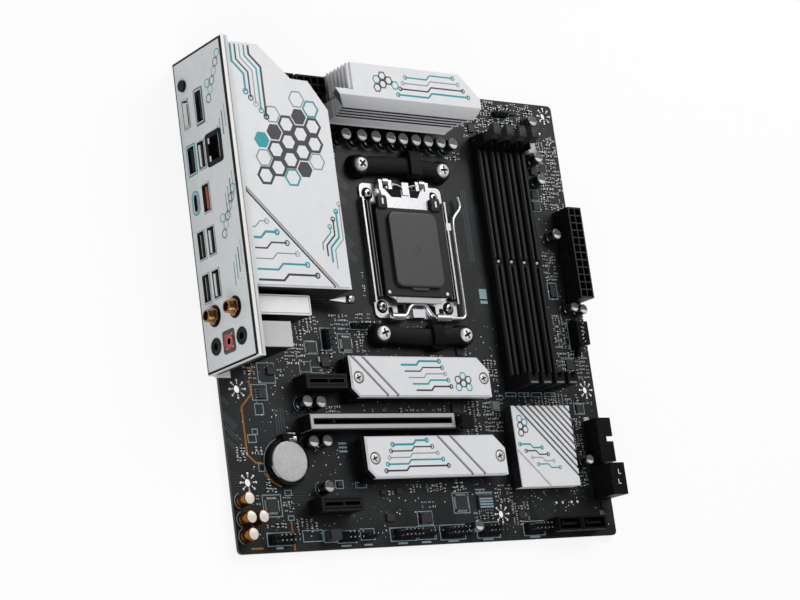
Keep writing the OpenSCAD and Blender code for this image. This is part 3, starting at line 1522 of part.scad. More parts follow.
pcb();
socket_backplate();
socket_base();
socket_contacts();
socket_frame();
socket_screws();
load_plate();
load_lever();
socket_cap();
cooler_bracket_upper();
cooler_bracket_lower();
bracket_screws();
io_cover();
vrm_heatsink_left();
vrm_heatsink_upper();
heatsink_screws();
thermal_pads();
vrm_chokes();
polymer_capacitors();
audio_capacitors();
dimm_slot_1();
dimm_slot_2();
dimm_slot_3();
dimm_slot_4();
dimm_latch_1();
dimm_latch_2();
dimm_latch_3();
dimm_latch_4();
card_slot_upper();
card_slot_long();
card_slot_armor();
card_slot_lower();
card_latch();
drive_heatsink_upper();
drive_heatsink_lower();
drive_screws();
drive_sockets();
drive_standoffs();
chipset_heatsink();
board_chips();
main_power_housing();
cpu_power_housings();
power_pins();
rear_panel();
video_port_stack();
lan_port_stack();
round_port_stack();
usb_port_stacks();
audio_jack_block();
wifi_module();
antenna_connectors();
update_switch();
update_button();
usb_header();
drive_port_stack();
drive_ports_lower();
pin_headers();
header_pins();
battery_holder();
coin_cell();
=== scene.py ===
"""Looks of a small square computer main board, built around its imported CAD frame.

Places are in millimetres from the board's corner between the rear port edge (X) and the header edge (Y),
with Z counted from the board's underside. put() moves them to the frame's origin and into metres.
"""

import json

import bpy
import numpy as np
from mathutils import Matrix, Vector


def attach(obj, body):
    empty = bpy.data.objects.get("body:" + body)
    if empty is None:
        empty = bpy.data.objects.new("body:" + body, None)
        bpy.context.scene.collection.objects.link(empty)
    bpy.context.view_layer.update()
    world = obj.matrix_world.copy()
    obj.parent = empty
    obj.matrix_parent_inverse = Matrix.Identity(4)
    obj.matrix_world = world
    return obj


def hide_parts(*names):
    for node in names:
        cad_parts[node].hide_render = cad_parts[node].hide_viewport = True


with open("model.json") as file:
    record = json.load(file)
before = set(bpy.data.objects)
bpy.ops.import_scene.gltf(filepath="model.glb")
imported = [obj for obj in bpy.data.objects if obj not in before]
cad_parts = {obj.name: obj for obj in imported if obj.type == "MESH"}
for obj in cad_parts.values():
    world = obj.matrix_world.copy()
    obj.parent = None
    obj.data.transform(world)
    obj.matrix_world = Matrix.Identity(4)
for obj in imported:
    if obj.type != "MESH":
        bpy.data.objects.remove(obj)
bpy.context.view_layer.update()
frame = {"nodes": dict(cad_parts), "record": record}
nodes = frame["nodes"]

MM = 0.001
CORNER = np.array([117.82, 122.67, -2.2])  # the frame's origin, counted from the board's corner
TOP = 1.6  # the board's upper face
INK = 0.03  # thickness of a print
SHARP = 0.6  # angle in radians from which an edge is drawn sharp
BOTH = (-1, 1)  # the two sides of a middle
rng = np.random.default_rng(7)


# Surfaces. A shape is a pair: an array of points and a list of face arrays.
def angles(n):
    """n angles, evenly round a turn."""
    return np.arange(n) * 2 * np.pi / n


def circle(r, n=24):
    """Points r times the unit circle, with the unit circle as outward normals."""
    normal = np.stack([np.cos(angles(n)), np.sin(angles(n))], 1)
    return r * normal, normal


def round_rect(w, d, r=0.0, n=4):
    """Rectangle about the middle: each corner's centre plus r times a quarter of the unit circle."""
    sign = np.array([[1, 1], [-1, 1], [-1, -1], [1, -1]], float)
    if r <= 0:
        return sign * [w / 2, d / 2], sign
    a = (np.arange(4)[:, None] * np.pi / 2 + np.linspace(0, np.pi / 2, n)).ravel()
    normal = np.stack([np.cos(a), np.sin(a)], 1)
    return np.repeat(sign, n, 0) * [w / 2 - r, d / 2 - r] + r * normal, normal


def corners(x0, y0, x1, y1):
    """The four corners of a rectangle, anticlockwise."""
    return [(x0, y0), (x1, y0), (x1, y1), (x0, y1)]


def polygon(points):
    """Any outline, anticlockwise, with normals long enough to keep its mitred corners parallel when it is
    drawn in."""
    p = np.array(points, float)
    run = np.roll(p, -1, 0) - p
    run /= np.linalg.norm(run, axis=1, keepdims=True)
    out = np.stack([run[:, 1], -run[:, 0]], 1)
    before = np.roll(out, 1, 0)
    return p, (out + before) / (1 + np.sum(out * before, 1, keepdims=True))


def at_height(places, z):
    """Level points given a height."""
    return np.column_stack([np.array(places, float), np.full(len(places), float(z))])


def grid(xs, ys):
    """Every pair of a value from each list, as (x, y) rows in which x runs faster."""
    gx, gy = np.meshgrid(xs, ys)
    return np.column_stack([gx.ravel(), gy.ravel()])


def outward(verts, faces):
    """The closed shape with its faces looking out: wound the other way where the volume they close is below
    0."""
    v = verts - verts.mean(0)
    volume = sum(np.sum(v[f[:, 0]] * np.cross(v[f[:, k]], v[f[:, k + 1]]))
                 for f in faces for k in range(1, f.shape[1] - 1))
    return verts, faces if volume > 0 else [f[:, ::-1] for f in faces]


def loft(rings, closed=False):
    """Rings of as many points each, joined to the next by quads. The last is joined to the first, or both
    ends are capped by fans to their middle."""
    rings = np.array(rings, float)
    k, n = rings.shape[:2]
    i = np.arange(n)
    j = (i + 1) % n
    step = np.arange(k if closed else k - 1)[:, None]
    a, b = step * n, (step + 1) % k * n
    quads = np.stack([a + i, a + j, b + j, b + i], -1).reshape(-1, 4)
    points = rings.reshape(-1, 3)
    if closed:
        return outward(points, [quads])
    low = np.stack([j, i, np.full(n, k * n)], 1)
    high = np.stack([i + (k - 1) * n, j + (k - 1) * n, np.full(n, k * n + 1)], 1)
    return outward(np.vstack([points, rings[[0, -1]].mean(1)]), [quads, np.vstack([low, high])])


def stack(outline, rows, at=(0, 0)):
    """One outline repeated in rows of (inset, z): drawn in by the inset along its normals and lifted to the
    height."""
    points, normals = outline
    rows = np.array(rows, float)
    level = points[None] - normals[None] * rows[:, :1, None] + np.array(at, float)
    heights = np.broadcast_to(rows[:, 1:, None], (len(rows), len(points), 1))
    return loft(np.concatenate([level, heights], 2))


def prism(points, low, high):
    """An outline raised straight from one height to another."""
    return stack(polygon(points), [(0, low), (0, high)])


def lathe(profile, n=24):
    """Surface of revolution about Z of a profile of (radius, z) rows."""
    return stack(circle(0, n), [(-r, z) for r, z in profile])


def block(low, high, bevel=0.0):
    """Box between two corners, as a stack of its outline whose first and last rows are drawn in by the
    bevel."""
    low, high = np.array(low, float), np.array(high, float)
    w, d, _ = high - low
    rows = [(0, low[2]), (0, high[2])]
    if bevel > 0:
        rows = [(bevel, low[2]), (0, low[2] + bevel), (0, high[2] - bevel), (bevel, high[2])]
    return stack(round_rect(w, d), rows, (low[:2] + high[:2]) / 2)


def join(shapes):
    """Several shapes as one: points in a row, face numbers moved on by the points before them."""
    start = np.cumsum([0] + [len(v) for v, _ in shapes])
    return np.vstack([v for v, _ in shapes]), [f + s for (_, faces), s in zip(shapes, start) for f in faces]


def placed(shape, places, turns=0.0, sizes=1.0):
    """A shape set down at one place or many, as one array: each copy scaled, turned about Z and moved.
    Places of two numbers are at height 0."""
    verts, faces = shape
    places = np.atleast_2d(np.array(places, float))
    if places.shape[1] == 2:
        places = at_height(places, 0)
    m = len(places)
    v = verts[None] * np.broadcast_to(sizes, (m, 3))[:, None]
    turns = np.broadcast_to(turns, m)[:, None]
    c, s = np.cos(turns), np.sin(turns)
    v = np.stack([v[..., 0] * c - v[..., 1] * s, v[..., 0] * s + v[..., 1] * c, v[..., 2]], -1) + places[:,
                                                                                                         None]
    step = np.arange(m)[:, None, None] * len(verts)
    return v.reshape(-1, 3), [(f[None] + step).reshape(-1, f.shape[1]) for f in faces]


def flipped(shape):
    """The shape mirrored in the level plane, with its faces wound the other way."""
    verts, faces = shape
    return verts * [1, 1, -1], [f[:, ::-1] for f in faces]


def rearward(shape):
    """The shape with its height pointing out of the rear panel: mirrored in height, then its axes passed
    round."""
    verts, faces = flipped(shape)
    return np.roll(verts, 1, 1), faces


def sweep(path, profile, up=(0, 0, 1), closed=False):
    """Profile of (side, up) points, anticlockwise, carried along a path whose bends all lie across the up
    direction. Each ring is mitred: its side is lengthened by one over the cosine of half the bend."""
    p, profile, up = (np.array(rows, float) for rows in (path, profile, up))
    run = np.diff(np.vstack([p, p[:1]]) if closed else p, axis=0)
    side = np.cross(run / np.linalg.norm(run, axis=1, keepdims=True), up)
    before = np.roll(side, 1, 0) if closed else np.vstack([side[:1], side])
    after = side if closed else np.vstack([side, side[-1:]])
    side = (before + after) / (1 + np.sum(before * after, 1, keepdims=True))
    return loft(p[:, None] + profile[:, :1] * side[:, None] + profile[:, 1:] * up, closed)


def ribbon(path, w, z, t=INK, closed=False):
    """Flat strip of ink or metal: a low rectangle carried along a level path."""
    return sweep(at_height(path, z), corners(-w / 2, 0, w / 2, t), closed=closed)


def bent(points, r, n):
    """Path whose corners are rounded: each becomes a Bezier arc of n points that starts r before it and
    ends r after."""
    p = np.array(points, float)
    a, b, c = p[:-2], p[1:-1], p[2:]
    ends = []
    for far in (a, c):
        length = np.linalg.norm(far - b, axis=1, keepdims=True)
        ends.append((b + (far - b) / length * np.minimum(r, length * 0.49))[:, None])
    t = np.linspace(0, 1, n)[None, :, None]
    arc = (1 - t) ** 2 * ends[0] + 2 * t * (1 - t) * b[:, None] + t**2 * ends[1]
    return np.vstack([p[:1], arc.reshape(-1, p.shape[1]), p[-1:]])


def put(name, shape, finish, body="board", stands_for=None):
    """Makes a piece of one shape or a list of them, rides it on a body and gives it its finish. It may stand
    for a node of the frame."""
    verts, faces = join(shape) if isinstance(shape, list) else shape
    loops = np.concatenate([f.ravel() for f in faces]).astype(np.int32)
    counts = np.concatenate([np.full(len(f), f.shape[1]) for f in faces])
    mesh = bpy.data.meshes.new(name)
    mesh.vertices.add(len(verts))
    mesh.vertices.foreach_set("co", ((verts - CORNER) * MM).astype(np.float32).ravel())
    mesh.loops.add(len(loops))
    mesh.loops.foreach_set("vertex_index", loops)
    mesh.polygons.add(len(counts))
    mesh.polygons.foreach_set("loop_start", np.concatenate([[0], np.cumsum(counts)[:-1]]).astype(np.int32))
    mesh.update(calc_edges=True)
    mesh.validate()
    mesh.shade_smooth()
    mesh.set_sharp_from_angle(angle=SHARP)
    mesh.materials.append(finish)
    thing = bpy.data.objects.new(name, mesh)
    bpy.context.scene.collection.objects.link(thing)
    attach(thing, body)
    if stands_for:
        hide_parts(stands_for)


# Finishes
GRAIN_SPAN = (0.3, 0.7)  # the part of a noise's range that is drawn
CLOUD_SCALE, CLOUD_SHARE = 0.06, 0.4  # broad clouds: their scale beside the grain's, and their share
WAVE = 0.314  # period of the wave texture at scale 1


def linear(colour):
    """sRGB hex to linear red, green, blue and alpha."""
    c = np.array([int(colour[i : i + 2], 16) for i in (1, 3, 5)]) / 255
    c = np.where(c <= 0.04045, c / 12.92, ((c + 0.055) / 1.055) ** 2.4)
    return (*c.tolist(), 1.0)


def add(tree, kind, inputs=None, **settings):
    """One node with its settings, and its inputs either set or linked."""
    node = tree.nodes.new(kind)
    for key, value in settings.items():
        setattr(node, key, value)
    for key, value in (inputs or {}).items():
        if isinstance(value, bpy.types.NodeSocket):
            tree.links.new(value, node.inputs[key])
        else:
            node.inputs[key].default_value = value
    return node


def bare(name, colour, roughness, metallic=0.0, specular=0.5):
    """A material with its shader set, and its tree and shader to build on."""
    mat = bpy.data.materials.new(name)
    mat.use_nodes = True
    shader = mat.node_tree.nodes["Principled BSDF"]
    for key, value in (("Base Color", linear(colour)), ("Roughness", roughness), ("Metallic", metallic),
                       ("Specular IOR Level", specular)):
        shader.inputs[key].default_value = value
    return mat, mat.node_tree, shader


def grained(name, colour, shade, roughness, grain_mm, depth_mm, metallic=0.0, stretch=None, spread=0.06,
            specular=0.5):
    """A surface whose colour, roughness and height follow one noise of a real grain size: moulded, cast,
    painted or, with the grain stretched along one axis, brushed."""
    mat, tree, shader = bare(name, colour, roughness, metallic, specular)
    low, high = GRAIN_SPAN
    place = add(tree, "ShaderNodeTexCoord").outputs["Object"]
    if stretch:
        place = add(tree, "ShaderNodeMapping", {"Vector": place, "Scale": stretch}).outputs["Vector"]
    scale = 1 / (grain_mm * MM)
    fine = add(tree, "ShaderNodeTexNoise", {"Vector": place, "Scale": scale, "Detail": 4.0}).outputs["Fac"]
    wide = add(tree, "ShaderNodeTexNoise", {"Vector": place, "Scale": CLOUD_SCALE * scale,
                                            "Detail": 2.0}).outputs["Fac"]
    both = add(tree, "ShaderNodeMix", {"Factor": CLOUD_SHARE, "A": fine, "B": wide}).outputs["Result"]
    tone = add(tree, "ShaderNodeValToRGB", {"Fac": both})
    for stop, position, tint in zip(tone.color_ramp.elements, GRAIN_SPAN, (shade, colour)):
        stop.position, stop.color = position, linear(tint)
    rough = add(tree, "ShaderNodeMapRange", {"Value": both, "From Min": low, "From Max": high,
                                             "To Min": roughness + spread,
                                             "To Max": max(roughness - spread, 0.02)})
    bump = add(tree, "ShaderNodeBump", {"Height": fine, "Distance": depth_mm * MM, "Strength": 1.0})
    for socket, key in ((tone.outputs["Color"], "Base Color"), (rough.outputs["Result"], "Roughness"),
                        (bump.outputs["Normal"], "Normal")):
        tree.links.new(socket, shader.inputs[key])
    return mat


def laminate():
    """Black solder mask over copper on glass laminate: satin charcoal, with the copper runs under the mask
    showing as slightly raised and lighter lines, and bare tan glass fibre along the sawn edges."""
    mat, tree, shader = bare("satin_solder_mask_on_laminate", "#0c0e0f", 0.38,
                             specular=0.37)
    place = add(tree, "ShaderNodeTexCoord").outputs["Object"]
    patch_mm, grain_mm, relief_mm = 26, 0.5, 0.035
    copper = None
    # Runs on two diagonals and square to the board, each kind only in its own patches. Real ones are about
    # 0.3 mm apart, and these are drawn 1.3 and 1.5 mm apart so that they show
    for turn, spacing, seed in ((0.785, 1.5, 1.7), (-0.785, 1.5, 8.3), (0.0, 1.3, 4.1), (1.571, 1.3, 12.9)):
        turned = add(tree, "ShaderNodeMapping", {"Vector": place, "Rotation": (0, 0, turn)}).outputs["Vector"]
        band = add(tree, "ShaderNodeTexWave", {"Vector": turned, "Scale": WAVE / (spacing * MM)},
                   wave_type="BANDS", bands_direction="X", wave_profile="SIN").outputs["Fac"]
        run = add(tree, "ShaderNodeMapRange", {"Value": band, "From Min": 0.72,
                                               "From Max": 0.86}).outputs["Result"]
        shifted = add(tree, "ShaderNodeMapping",
                      {"Vector": place, "Location": (seed, seed, 0)}).outputs["Vector"]
        patch = add(tree, "ShaderNodeTexNoise",
                    {"Vector": shifted, "Scale": 1 / (patch_mm * MM), "Detail": 1.0})
        there = add(tree, "ShaderNodeMapRange",
                    {"Value": patch.outputs["Fac"], "From Min": 0.56, "From Max": 0.58})
        line = add(tree, "ShaderNodeMath", {0: run, 1: there.outputs["Result"]},
                   operation="MULTIPLY").outputs["Value"]
        copper = line if copper is None else add(tree, "ShaderNodeMath", {0: copper, 1: line},
                                                 operation="MAXIMUM").outputs["Value"]
    grain = add(tree, "ShaderNodeTexNoise", {"Vector": place, "Scale": 1 / (grain_mm * MM),
                                             "Detail": 3.0}).outputs["Fac"]
    normal = add(tree, "ShaderNodeNewGeometry").outputs["Normal"]
    upright = add(tree, "ShaderNodeSeparateXYZ", {"Vector": normal}).outputs["Z"]
    steep = add(tree, "ShaderNodeMath", {0: upright}, operation="ABSOLUTE").outputs["Value"]
    edge = add(tree, "ShaderNodeMath", {0: steep, 1: 0.5}, operation="LESS_THAN").outputs["Value"]
    colour = linear("#0c0e0f")
    for amount, tint in ((grain, "#111416"), (copper, "#1b2123"), (edge, "#3a2b1c")):
        colour = add(tree, "ShaderNodeMix", {"Factor": amount, "A": colour, "B": linear(tint)},
                     data_type="RGBA").outputs["Result"]
    height = add(tree, "ShaderNodeMath", {0: grain, 1: 0.15, 2: copper},
                 operation="MULTIPLY_ADD").outputs["Value"]
    bump = add(tree, "ShaderNodeBump", {"Height": height, "Distance": relief_mm * MM,
                                        "Strength": 1.0}).outputs["Normal"]
    tree.links.new(colour, shader.inputs["Base Color"])
    tree.links.new(bump, shader.inputs["Normal"])
    return mat


MASK = laminate()
# Copper under the mask where a run is broad: the coat over it is paler and smoother than on the glass
BROAD_RUN = grained("mask_over_copper", "#3e474c", "#343c41", 0.34, 0.6, 0.004,
                    specular=0.4)
# Powder coat on aluminium: a fine orange peel, white with a cool cast, satin
WHITE_PAINT = grained("white_powder_coated_aluminium", "#dfe0e2", "#d6d7da", 0.42, 0.35, 0.006)
# The coat on milled flanks: thin, so the metal greys it
# Painted shade: a mid grey on the flanks of grooves and ridges, and behind the upper sink's fins
SHADE = grained("painted_shade_mid_grey", "#97989b", "#8b8c8f", 0.5, 0.4, 0.003)
# Paint on the rear panel's steel sheet: pale grey with a fine grit; the jack block's shield is smoother
PANEL_PAINT = grained("pale_grey_painted_steel", "#ccd0d2", "#bfc4c6", 0.45, 0.3, 0.008)
GREY_COAT = grained("pale_grey_port_shield", "#c3c3c4", "#b7b7b8", 0.45, 0.4, 0.004)
# Anodised aluminium: near-black, with the sheen of bead-blasted metal
ANODISED = grained("black_anodised_aluminium", "#2a2b2e", "#1f2022", 0.45, 0.25, 0.006, 0.6)
# Stamped stainless: bright, with drawn lines along the sheet; the slot's sleeve is duller
STAINLESS = grained("stamped_stainless_steel", "#e2e3e5", "#d2d3d6", 0.28, 0.9, 0.0005, 1.0,
                    (1, 0.08, 1), 0.03)
ARMOUR = grained("satin_slot_armour_steel", "#b9babd", "#abacaf", 0.42, 0.9, 0.0005, 0.5,
                 spread=0.03)
# Nickel plate: bright and a little uneven; inside the ports satin, to show the light that comes in
NICKEL = grained("nickel_plated_steel", "#dcdddf", "#bfc1c4", 0.22, 0.3, 0.003, 1.0)
SATIN = grained("satin_nickel_port_floor", "#f4f4f3", "#e6e6e5", 0.55, 0.3, 0.003, 0.3)
# Tin plate drawn into a shell: streaked along the draw
SHELL = grained("tinned_steel_port_shell", "#d2d4d6", "#b3b6ba", 0.3, 0.3, 0.003, 1.0,
                (0.1, 1, 1))
# Polished and stamped edges that catch the lamps: near-white metal. The matt near-white after it is painted
# highlight on lit rims, pips and edges
LID = grained("bright_stamped_lid", "#eeedea", "#dedcd8", 0.35, 0.4, 0.002, 0.3)
PAINTED_HIGHLIGHT = grained("painted_highlight_near_white", "#f1ece7", "#e4ded8", 0.4, 0.5, 0.002)
# Painted shade: a near-black laid where shade falls, in sockets, recesses, cut-outs, seams and round the
# ports
PAINTED_SHADE = grained("painted_shade_near_black", "#0a0a0b", "#050506", 0.6, 0.3, 0.004, specular=0.15)
# Glass-filled nylon: black to dark grey, satin, with a fine moulded grain. The rails' nylon is drawn a shade
# paler as painted sheen on their lit tops, and the pale grey last one is painted highlight on lit edges
BLACK_NYLON = grained("moulded_black_nylon", "#0a0a0b", "#0f0f10", 0.48, 0.22, 0.004,
                      specular=0.12)
GREY_NYLON = grained("moulded_dark_grey_nylon", "#2c2d2f", "#252628", 0.46, 0.22, 0.005,
                     specular=0.3)
SHEENED_RAIL = grained("rail_nylon_with_painted_sheen", "#1f2022", "#191a1b", 0.45, 0.25, 0.004, specular=0.3)
CAP_NYLON = grained("moulded_black_cap", "#1d1d1f", "#161617", 0.45, 0.25, 0.004,
                    specular=0.3)
CAP_PANEL = grained("moulded_grey_cap", "#3b3c3e", "#353637", 0.42, 0.3, 0.004)
NYLON_HIGHLIGHT = grained("painted_highlight_on_nylon", "#66686b", "#57595c", 0.4, 0.25, 0.004)
# Moulded plastics of the ports: plain colours, smoother than the nylon
WHITE_ABS = grained("moulded_white_plastic", "#eeeeef", "#e4e5e6", 0.4, 0.3, 0.004)
RED = grained("moulded_red_plastic", "#b3261b", "#961f16", 0.35, 0.3, 0.003)
ORANGE = grained("moulded_rust_plastic", "#8e4220", "#6d3017", 0.4, 0.3, 0.003)
# Filled epoxy: matt charcoal, with a sandy grain
EPOXY = grained("chip_moulding_epoxy", "#232426", "#1a1b1d", 0.5, 0.15, 0.004)
# Pressed iron powder and ferrite: dull stone greys
FERRITE = grained("pressed_iron_powder", "#6d7074", "#5c5f63", 0.6, 0.3, 0.01)
PALE_CHIP = grained("pale_ferrite_choke", "#b9babb", "#a9aaab", 0.5, 0.3, 0.004)
# Drawn aluminium cans: smooth mirrors, plain grey or under gold lacquer
CAN = grained("drawn_aluminium_can", "#77797c", "#606265", 0.28, 0.4, 0.003, 1.0)
GOLD_CAN = grained("gold_lacquered_aluminium_can", "#a5651f", "#8a4f14", 0.3, 0.4, 0.003, 1.0)
# Rolled stainless of the coin cell: satin, with a cloudy bloom
CELL_STEEL = grained("satin_stainless_cell_can", "#c6c6c6", "#a6a6a6", 0.5, 0.9, 0.006, 0.25)
# Gold: bright on the contacts, browned in the turned threads, dull under lacquer on the board's copper
GOLD = grained("gold_plated_brass", "#c39c62", "#a5804a", 0.25, 0.3, 0.002, 1.0)
BRASS = grained("browned_gilt_brass", "#b08c60", "#73512f", 0.22, 0.5, 0.002, 1.0)
FLASHED = grained("gold_flashed_copper", "#a8690f", "#8f570c", 0.42, 0.4, 0.003, 0.4)
# Solder: bright and slightly rough
TIN = grained("tin_solder", "#e8e9e9", "#c8cacb", 0.36, 0.3, 0.01, 0.7)
# Silicone pads: matt and soft-edged
SILICONE = grained("grey_silicone_pad", "#6d757c", "#626a71", 0.75, 0.4, 0.02)
# Fired ceramic and the glazed tops of resistors
CERAMIC = grained("tan_ceramic", "#6f5f4d", "#57493a", 0.45, 0.2, 0.004)
RESISTOR = grained("black_glass_resistor_top", "#151617", "#1e1f21", 0.3, 0.2, 0.003)
# Screen print on the covers: even and flat
TEAL_INK = grained("teal_print", "#0d98a2", "#0a8d97", 0.5, 0.4, 0.002)
DARK_INK = grained("charcoal_print", "#333539", "#2c2e31", 0.5, 0.4, 0.002)
GREY_INK = grained("grey_print", "#8d9195", "#84888c", 0.5, 0.4, 0.002)
# Print on the cans, and over the far part of each top painted shade that leaves the near edge bright: dark,
# worn thin enough for the metal to show
MARK_AND_SHADE_INK = grained("can_print_and_painted_shade", "#2c2e31", "#66686c", 0.4, 0.9, 0.002)
# Legend ink on the board: thin, so the mask darkens it
LEGEND = grained("blue_grey_legend_ink", "#93adb5", "#70878f", 0.6, 0.25, 0.004)

FINISH_OF_SLOT = {
    "board_laminate": MASK, "white_paint": WHITE_PAINT, "dark_aluminium": ANODISED,
    "steel_sheet": STAINLESS, "screw_steel": NICKEL, "black_plastic": BLACK_NYLON,
    "grey_plastic": GREY_NYLON, "white_plastic": WHITE_ABS, "gold_contact": GOLD, "ferrite": FERRITE,
    "can_aluminium": CAN, "gold_can": GOLD_CAN, "soft_pad": SILICONE, "cell_steel": CELL_STEEL,
    "chip_epoxy": EPOXY,
}
OWN_FINISH = {"rear_panel": PANEL_PAINT, "video_port_stack": SHELL, "lan_port_stack": SHELL,
              "round_port_stack": SHELL, "usb_port_stacks": SHELL, "wifi_module": ANODISED,
              "header_pins": NICKEL, "socket_contacts": EPOXY, "card_slot_armor": ARMOUR,
              "audio_jack_block": GREY_COAT}
for part in frame["record"]["subparts"]:
    mesh = nodes[part["node"]].data
    mesh.materials.clear()
    mesh.materials.append(OWN_FINISH.get(part["node"], FINISH_OF_SLOT[part["material_slot"]]))

# Places that pieces share
HOLES = [(10.16, 80.01), (10.16, 34.29), (33.02, 237.49), (165.1, 237.49), (165.1, 80.01), (237.49, 237.49),
         (237.49, 80.01), (165.1, 13.97)]
SX, SY = 126.3, 153.04  # middle of the socket
COOLER_W, COOLER_D = 54, 90  # between the cooler's screws
COOLER = [(SX + s * COOLER_W / 2, SY + t * COOLER_D / 2) for s in BOTH for t in BOTH]
FRAME_SCREWS = [(x, y) for x in (103.9, 147.5) for y in (123.14, 183.54)]
DRIVE_SCREWS = [(76.6, 83.89), (157.6, 83.89), (80.2, 42.89), (161.2, 42.89)]
DIMM_X = 183.1 + 9.12 * np.arange(4)  # memory slots
LONG_SLOT_Y, SHORT_SLOTS_Y = 61.44, (81.76, 20.8)  # card slots
# Tops of the port cover and of the upper, drive and chipset heatsinks
COVER_Z, UPPER_Z, SINK_Z, CHIP_Z = 40.5, 32.0, 11.5, 10.0
# Capacitors as radius, height and places
CANS = [(3.3, 8.2, [(x, 213.04) for x in (90.5, 100.6, 109.8, 119.5, 127.7, 136.3, 144.5, 153, 161.3)]),
        (3.15, 8.2, [(76, 148.44 + 8.6 * i) for i in range(6)]),
        (3.15, 7.0, [(45.8, 72.44), (54, 72.14), (46.6, 52.54), (54.8, 52.74), (52.5, 30.04), (222.4, 231.24),
                     (222.6, 210.04), (222.6, 197.44), (227.6, 166.24), (143.4, 7.6)]),
        (2.8, 7.0, [(232.44, 125.04), (238.84, 124.04), (226.44, 40.44)])]
AUDIO_CANS = [(5, 25.6), (5, 16.6), (12, 16.6), (5, 8.5)]
COIN = (32.9, 43.44)

# Which parts of the board are taken: the frame's triangles seen from above, as a grid of small cells
CELL = 0.25
GRID = int(250 / CELL)  # cells along a square a little larger than the board
LIFT = 0.05  # what stays lower over the board than this leaves it free
HOLE_ROOM = 10.4  # side of the square kept free round a standoff hole
EDGE_LOW, EDGE_HIGH = 0.6, 243.2  # small parts stay between these along both sides


def covered():
    """Which cells the flat boxes of the frame's triangles cover: each box adds one at two corners of a
    difference table and takes one at the others, and running sums along both sides fill it in."""
    table = np.zeros((GRID + 1, GRID + 1))
    for name, thing in nodes.items():
        if name == "pcb":
            continue
        mesh = thing.data
        mesh.calc_loop_triangles()
        co = np.empty(len(mesh.vertices) * 3)
        mesh.vertices.foreach_get("co", co)
        turn = np.array(thing.matrix_world)
        co = (co.reshape(-1, 3) @ turn[:3, :3].T + turn[:3, 3]) / MM + CORNER
        tri = np.empty(len(mesh.loop_triangles) * 3, np.int32)
        mesh.loop_triangles.foreach_get("vertices", tri)
        tri = co[tri].reshape(-1, 3, 3)
        tri = tri[tri[:, :, 2].max(1) > TOP + LIFT]
        low = np.clip(np.floor(tri[:, :, :2].min(1) / CELL), 0, GRID).astype(int)
        high = np.clip(np.ceil(tri[:, :, :2].max(1) / CELL), 0, GRID).astype(int)
        for a, b, count in ((low, low, 1), (high, high, 1), (low, high, -1), (high, low, -1)):
            np.add.at(table, (a[:, 0], b[:, 1]), count)
    return table.cumsum(0).cumsum(1)[:GRID, :GRID] > 0.5


def span(middle, side, room=0.0, extra=0):
    """The cells along one side of a rectangle and its room."""
    return slice(int((middle - side / 2 - room) / CELL), int((middle + side / 2 + room) / CELL) + extra)


def claim(x, y, w, d, room=0.2):
    """Whether a rectangle of board is free, and marks it taken if it is."""
    spot = span(x, w, room, 1), span(y, d, room, 1)
    if min(x - w / 2, y - d / 2) < EDGE_LOW or max(x + w / 2, y + d / 2) > EDGE_HIGH or taken[spot].any():
        return False
    taken[spot] = True
    return True


taken = covered()
for x, y in HOLES:
    taken[span(x, HOLE_ROOM), span(y, HOLE_ROOM)] = True

# Screws
SCREW_POINTS = 48


def cross(a, r):
    """Outline of a cross by angle: the farther of two bars' edges."""
    c, s = np.abs(np.cos(a)) + 1e-9, np.abs(np.sin(a)) + 1e-9
    long, thin = 0.66 * r, 0.17 * r
    return np.maximum(np.minimum(long / c, thin / s), np.minimum(thin / c, long / s))


def star(a, r):
    """Outline of a six-lobed socket by angle: a circle with six waves."""
    return r * (0.5 + 0.08 * np.cos(6 * a))


def screw(r, h, z, shank, tip, socket, depth=1.2):
    """Shank and pan head as rings about Z: a low dome outside, whose inner rings take the socket's outline,
    go straight down by the depth and close."""
    unit = circle(1, SCREW_POINTS)[0]
    edge = socket(angles(SCREW_POINTS), r)
    rows = [(shank, tip), (shank, z), (r, z), (r, z + 0.4 * h), (0.97 * r, z + 0.62 * h),
            (0.88 * r, z + 0.85 * h), (0.76 * r, z + 0.98 * h), (edge, z + h), (0.93 * edge, z + h - depth),
            (0.4 * edge, z + h - 1.1 * depth)]
    return loft([at_height(unit * np.reshape(q, (-1, 1)), v) for q, v in rows])


def plug(r, z, socket):
    """Painted shade on the floor of a screw's socket: the socket's outline as a low prism."""
    unit = circle(1, SCREW_POINTS)[0]
    return stack((unit * socket(angles(SCREW_POINTS), r)[:, None], unit),
                 [(0.06 * r, z - 0.3), (0.06 * r, z)])


COOLER_TURNS = [0.3, 0.8, 0.5, 0.1]
DRIVE_TURN = 0.4
# Painted shade: dark floors in the screws' sockets, and dark rings round the drive screws' counterbores
put("screw_socket_shade", [placed(plug(3.7, 8.6, cross), COOLER, COOLER_TURNS),
                      placed(plug(2.4, 4.05, star), FRAME_SCREWS),
                      placed(plug(2.6, 11.1, cross), DRIVE_SCREWS, DRIVE_TURN),
                      placed(ribbon(circle(3.0, 32)[0], 0.4, SINK_Z, closed=True), DRIVE_SCREWS)], PAINTED_SHADE)
put("cooler_screws", placed(screw(3.7, 2.4, 6.6, 1.55, -1.8, cross), COOLER, COOLER_TURNS), LID,
    stands_for="bracket_screws")
# Painted shade: dark discs under the frame screws' heads
put("screw_recess_shade", placed(lathe([(3.5, 2.4), (3.5, 2.86), (3.3, 2.9)], 32), FRAME_SCREWS), PAINTED_SHADE)
put("frame_screws", placed(screw(2.4, 1.5, 2.85, 1.3, -1.8, star, 0.9), FRAME_SCREWS), NICKEL,
    stands_for="socket_screws")
put("drive_sink_screws", placed(screw(2.6, 1.3, 10.1, 1.2, 6.0, cross, 0.6), DRIVE_SCREWS, DRIVE_TURN), LID,
    stands_for="drive_screws")

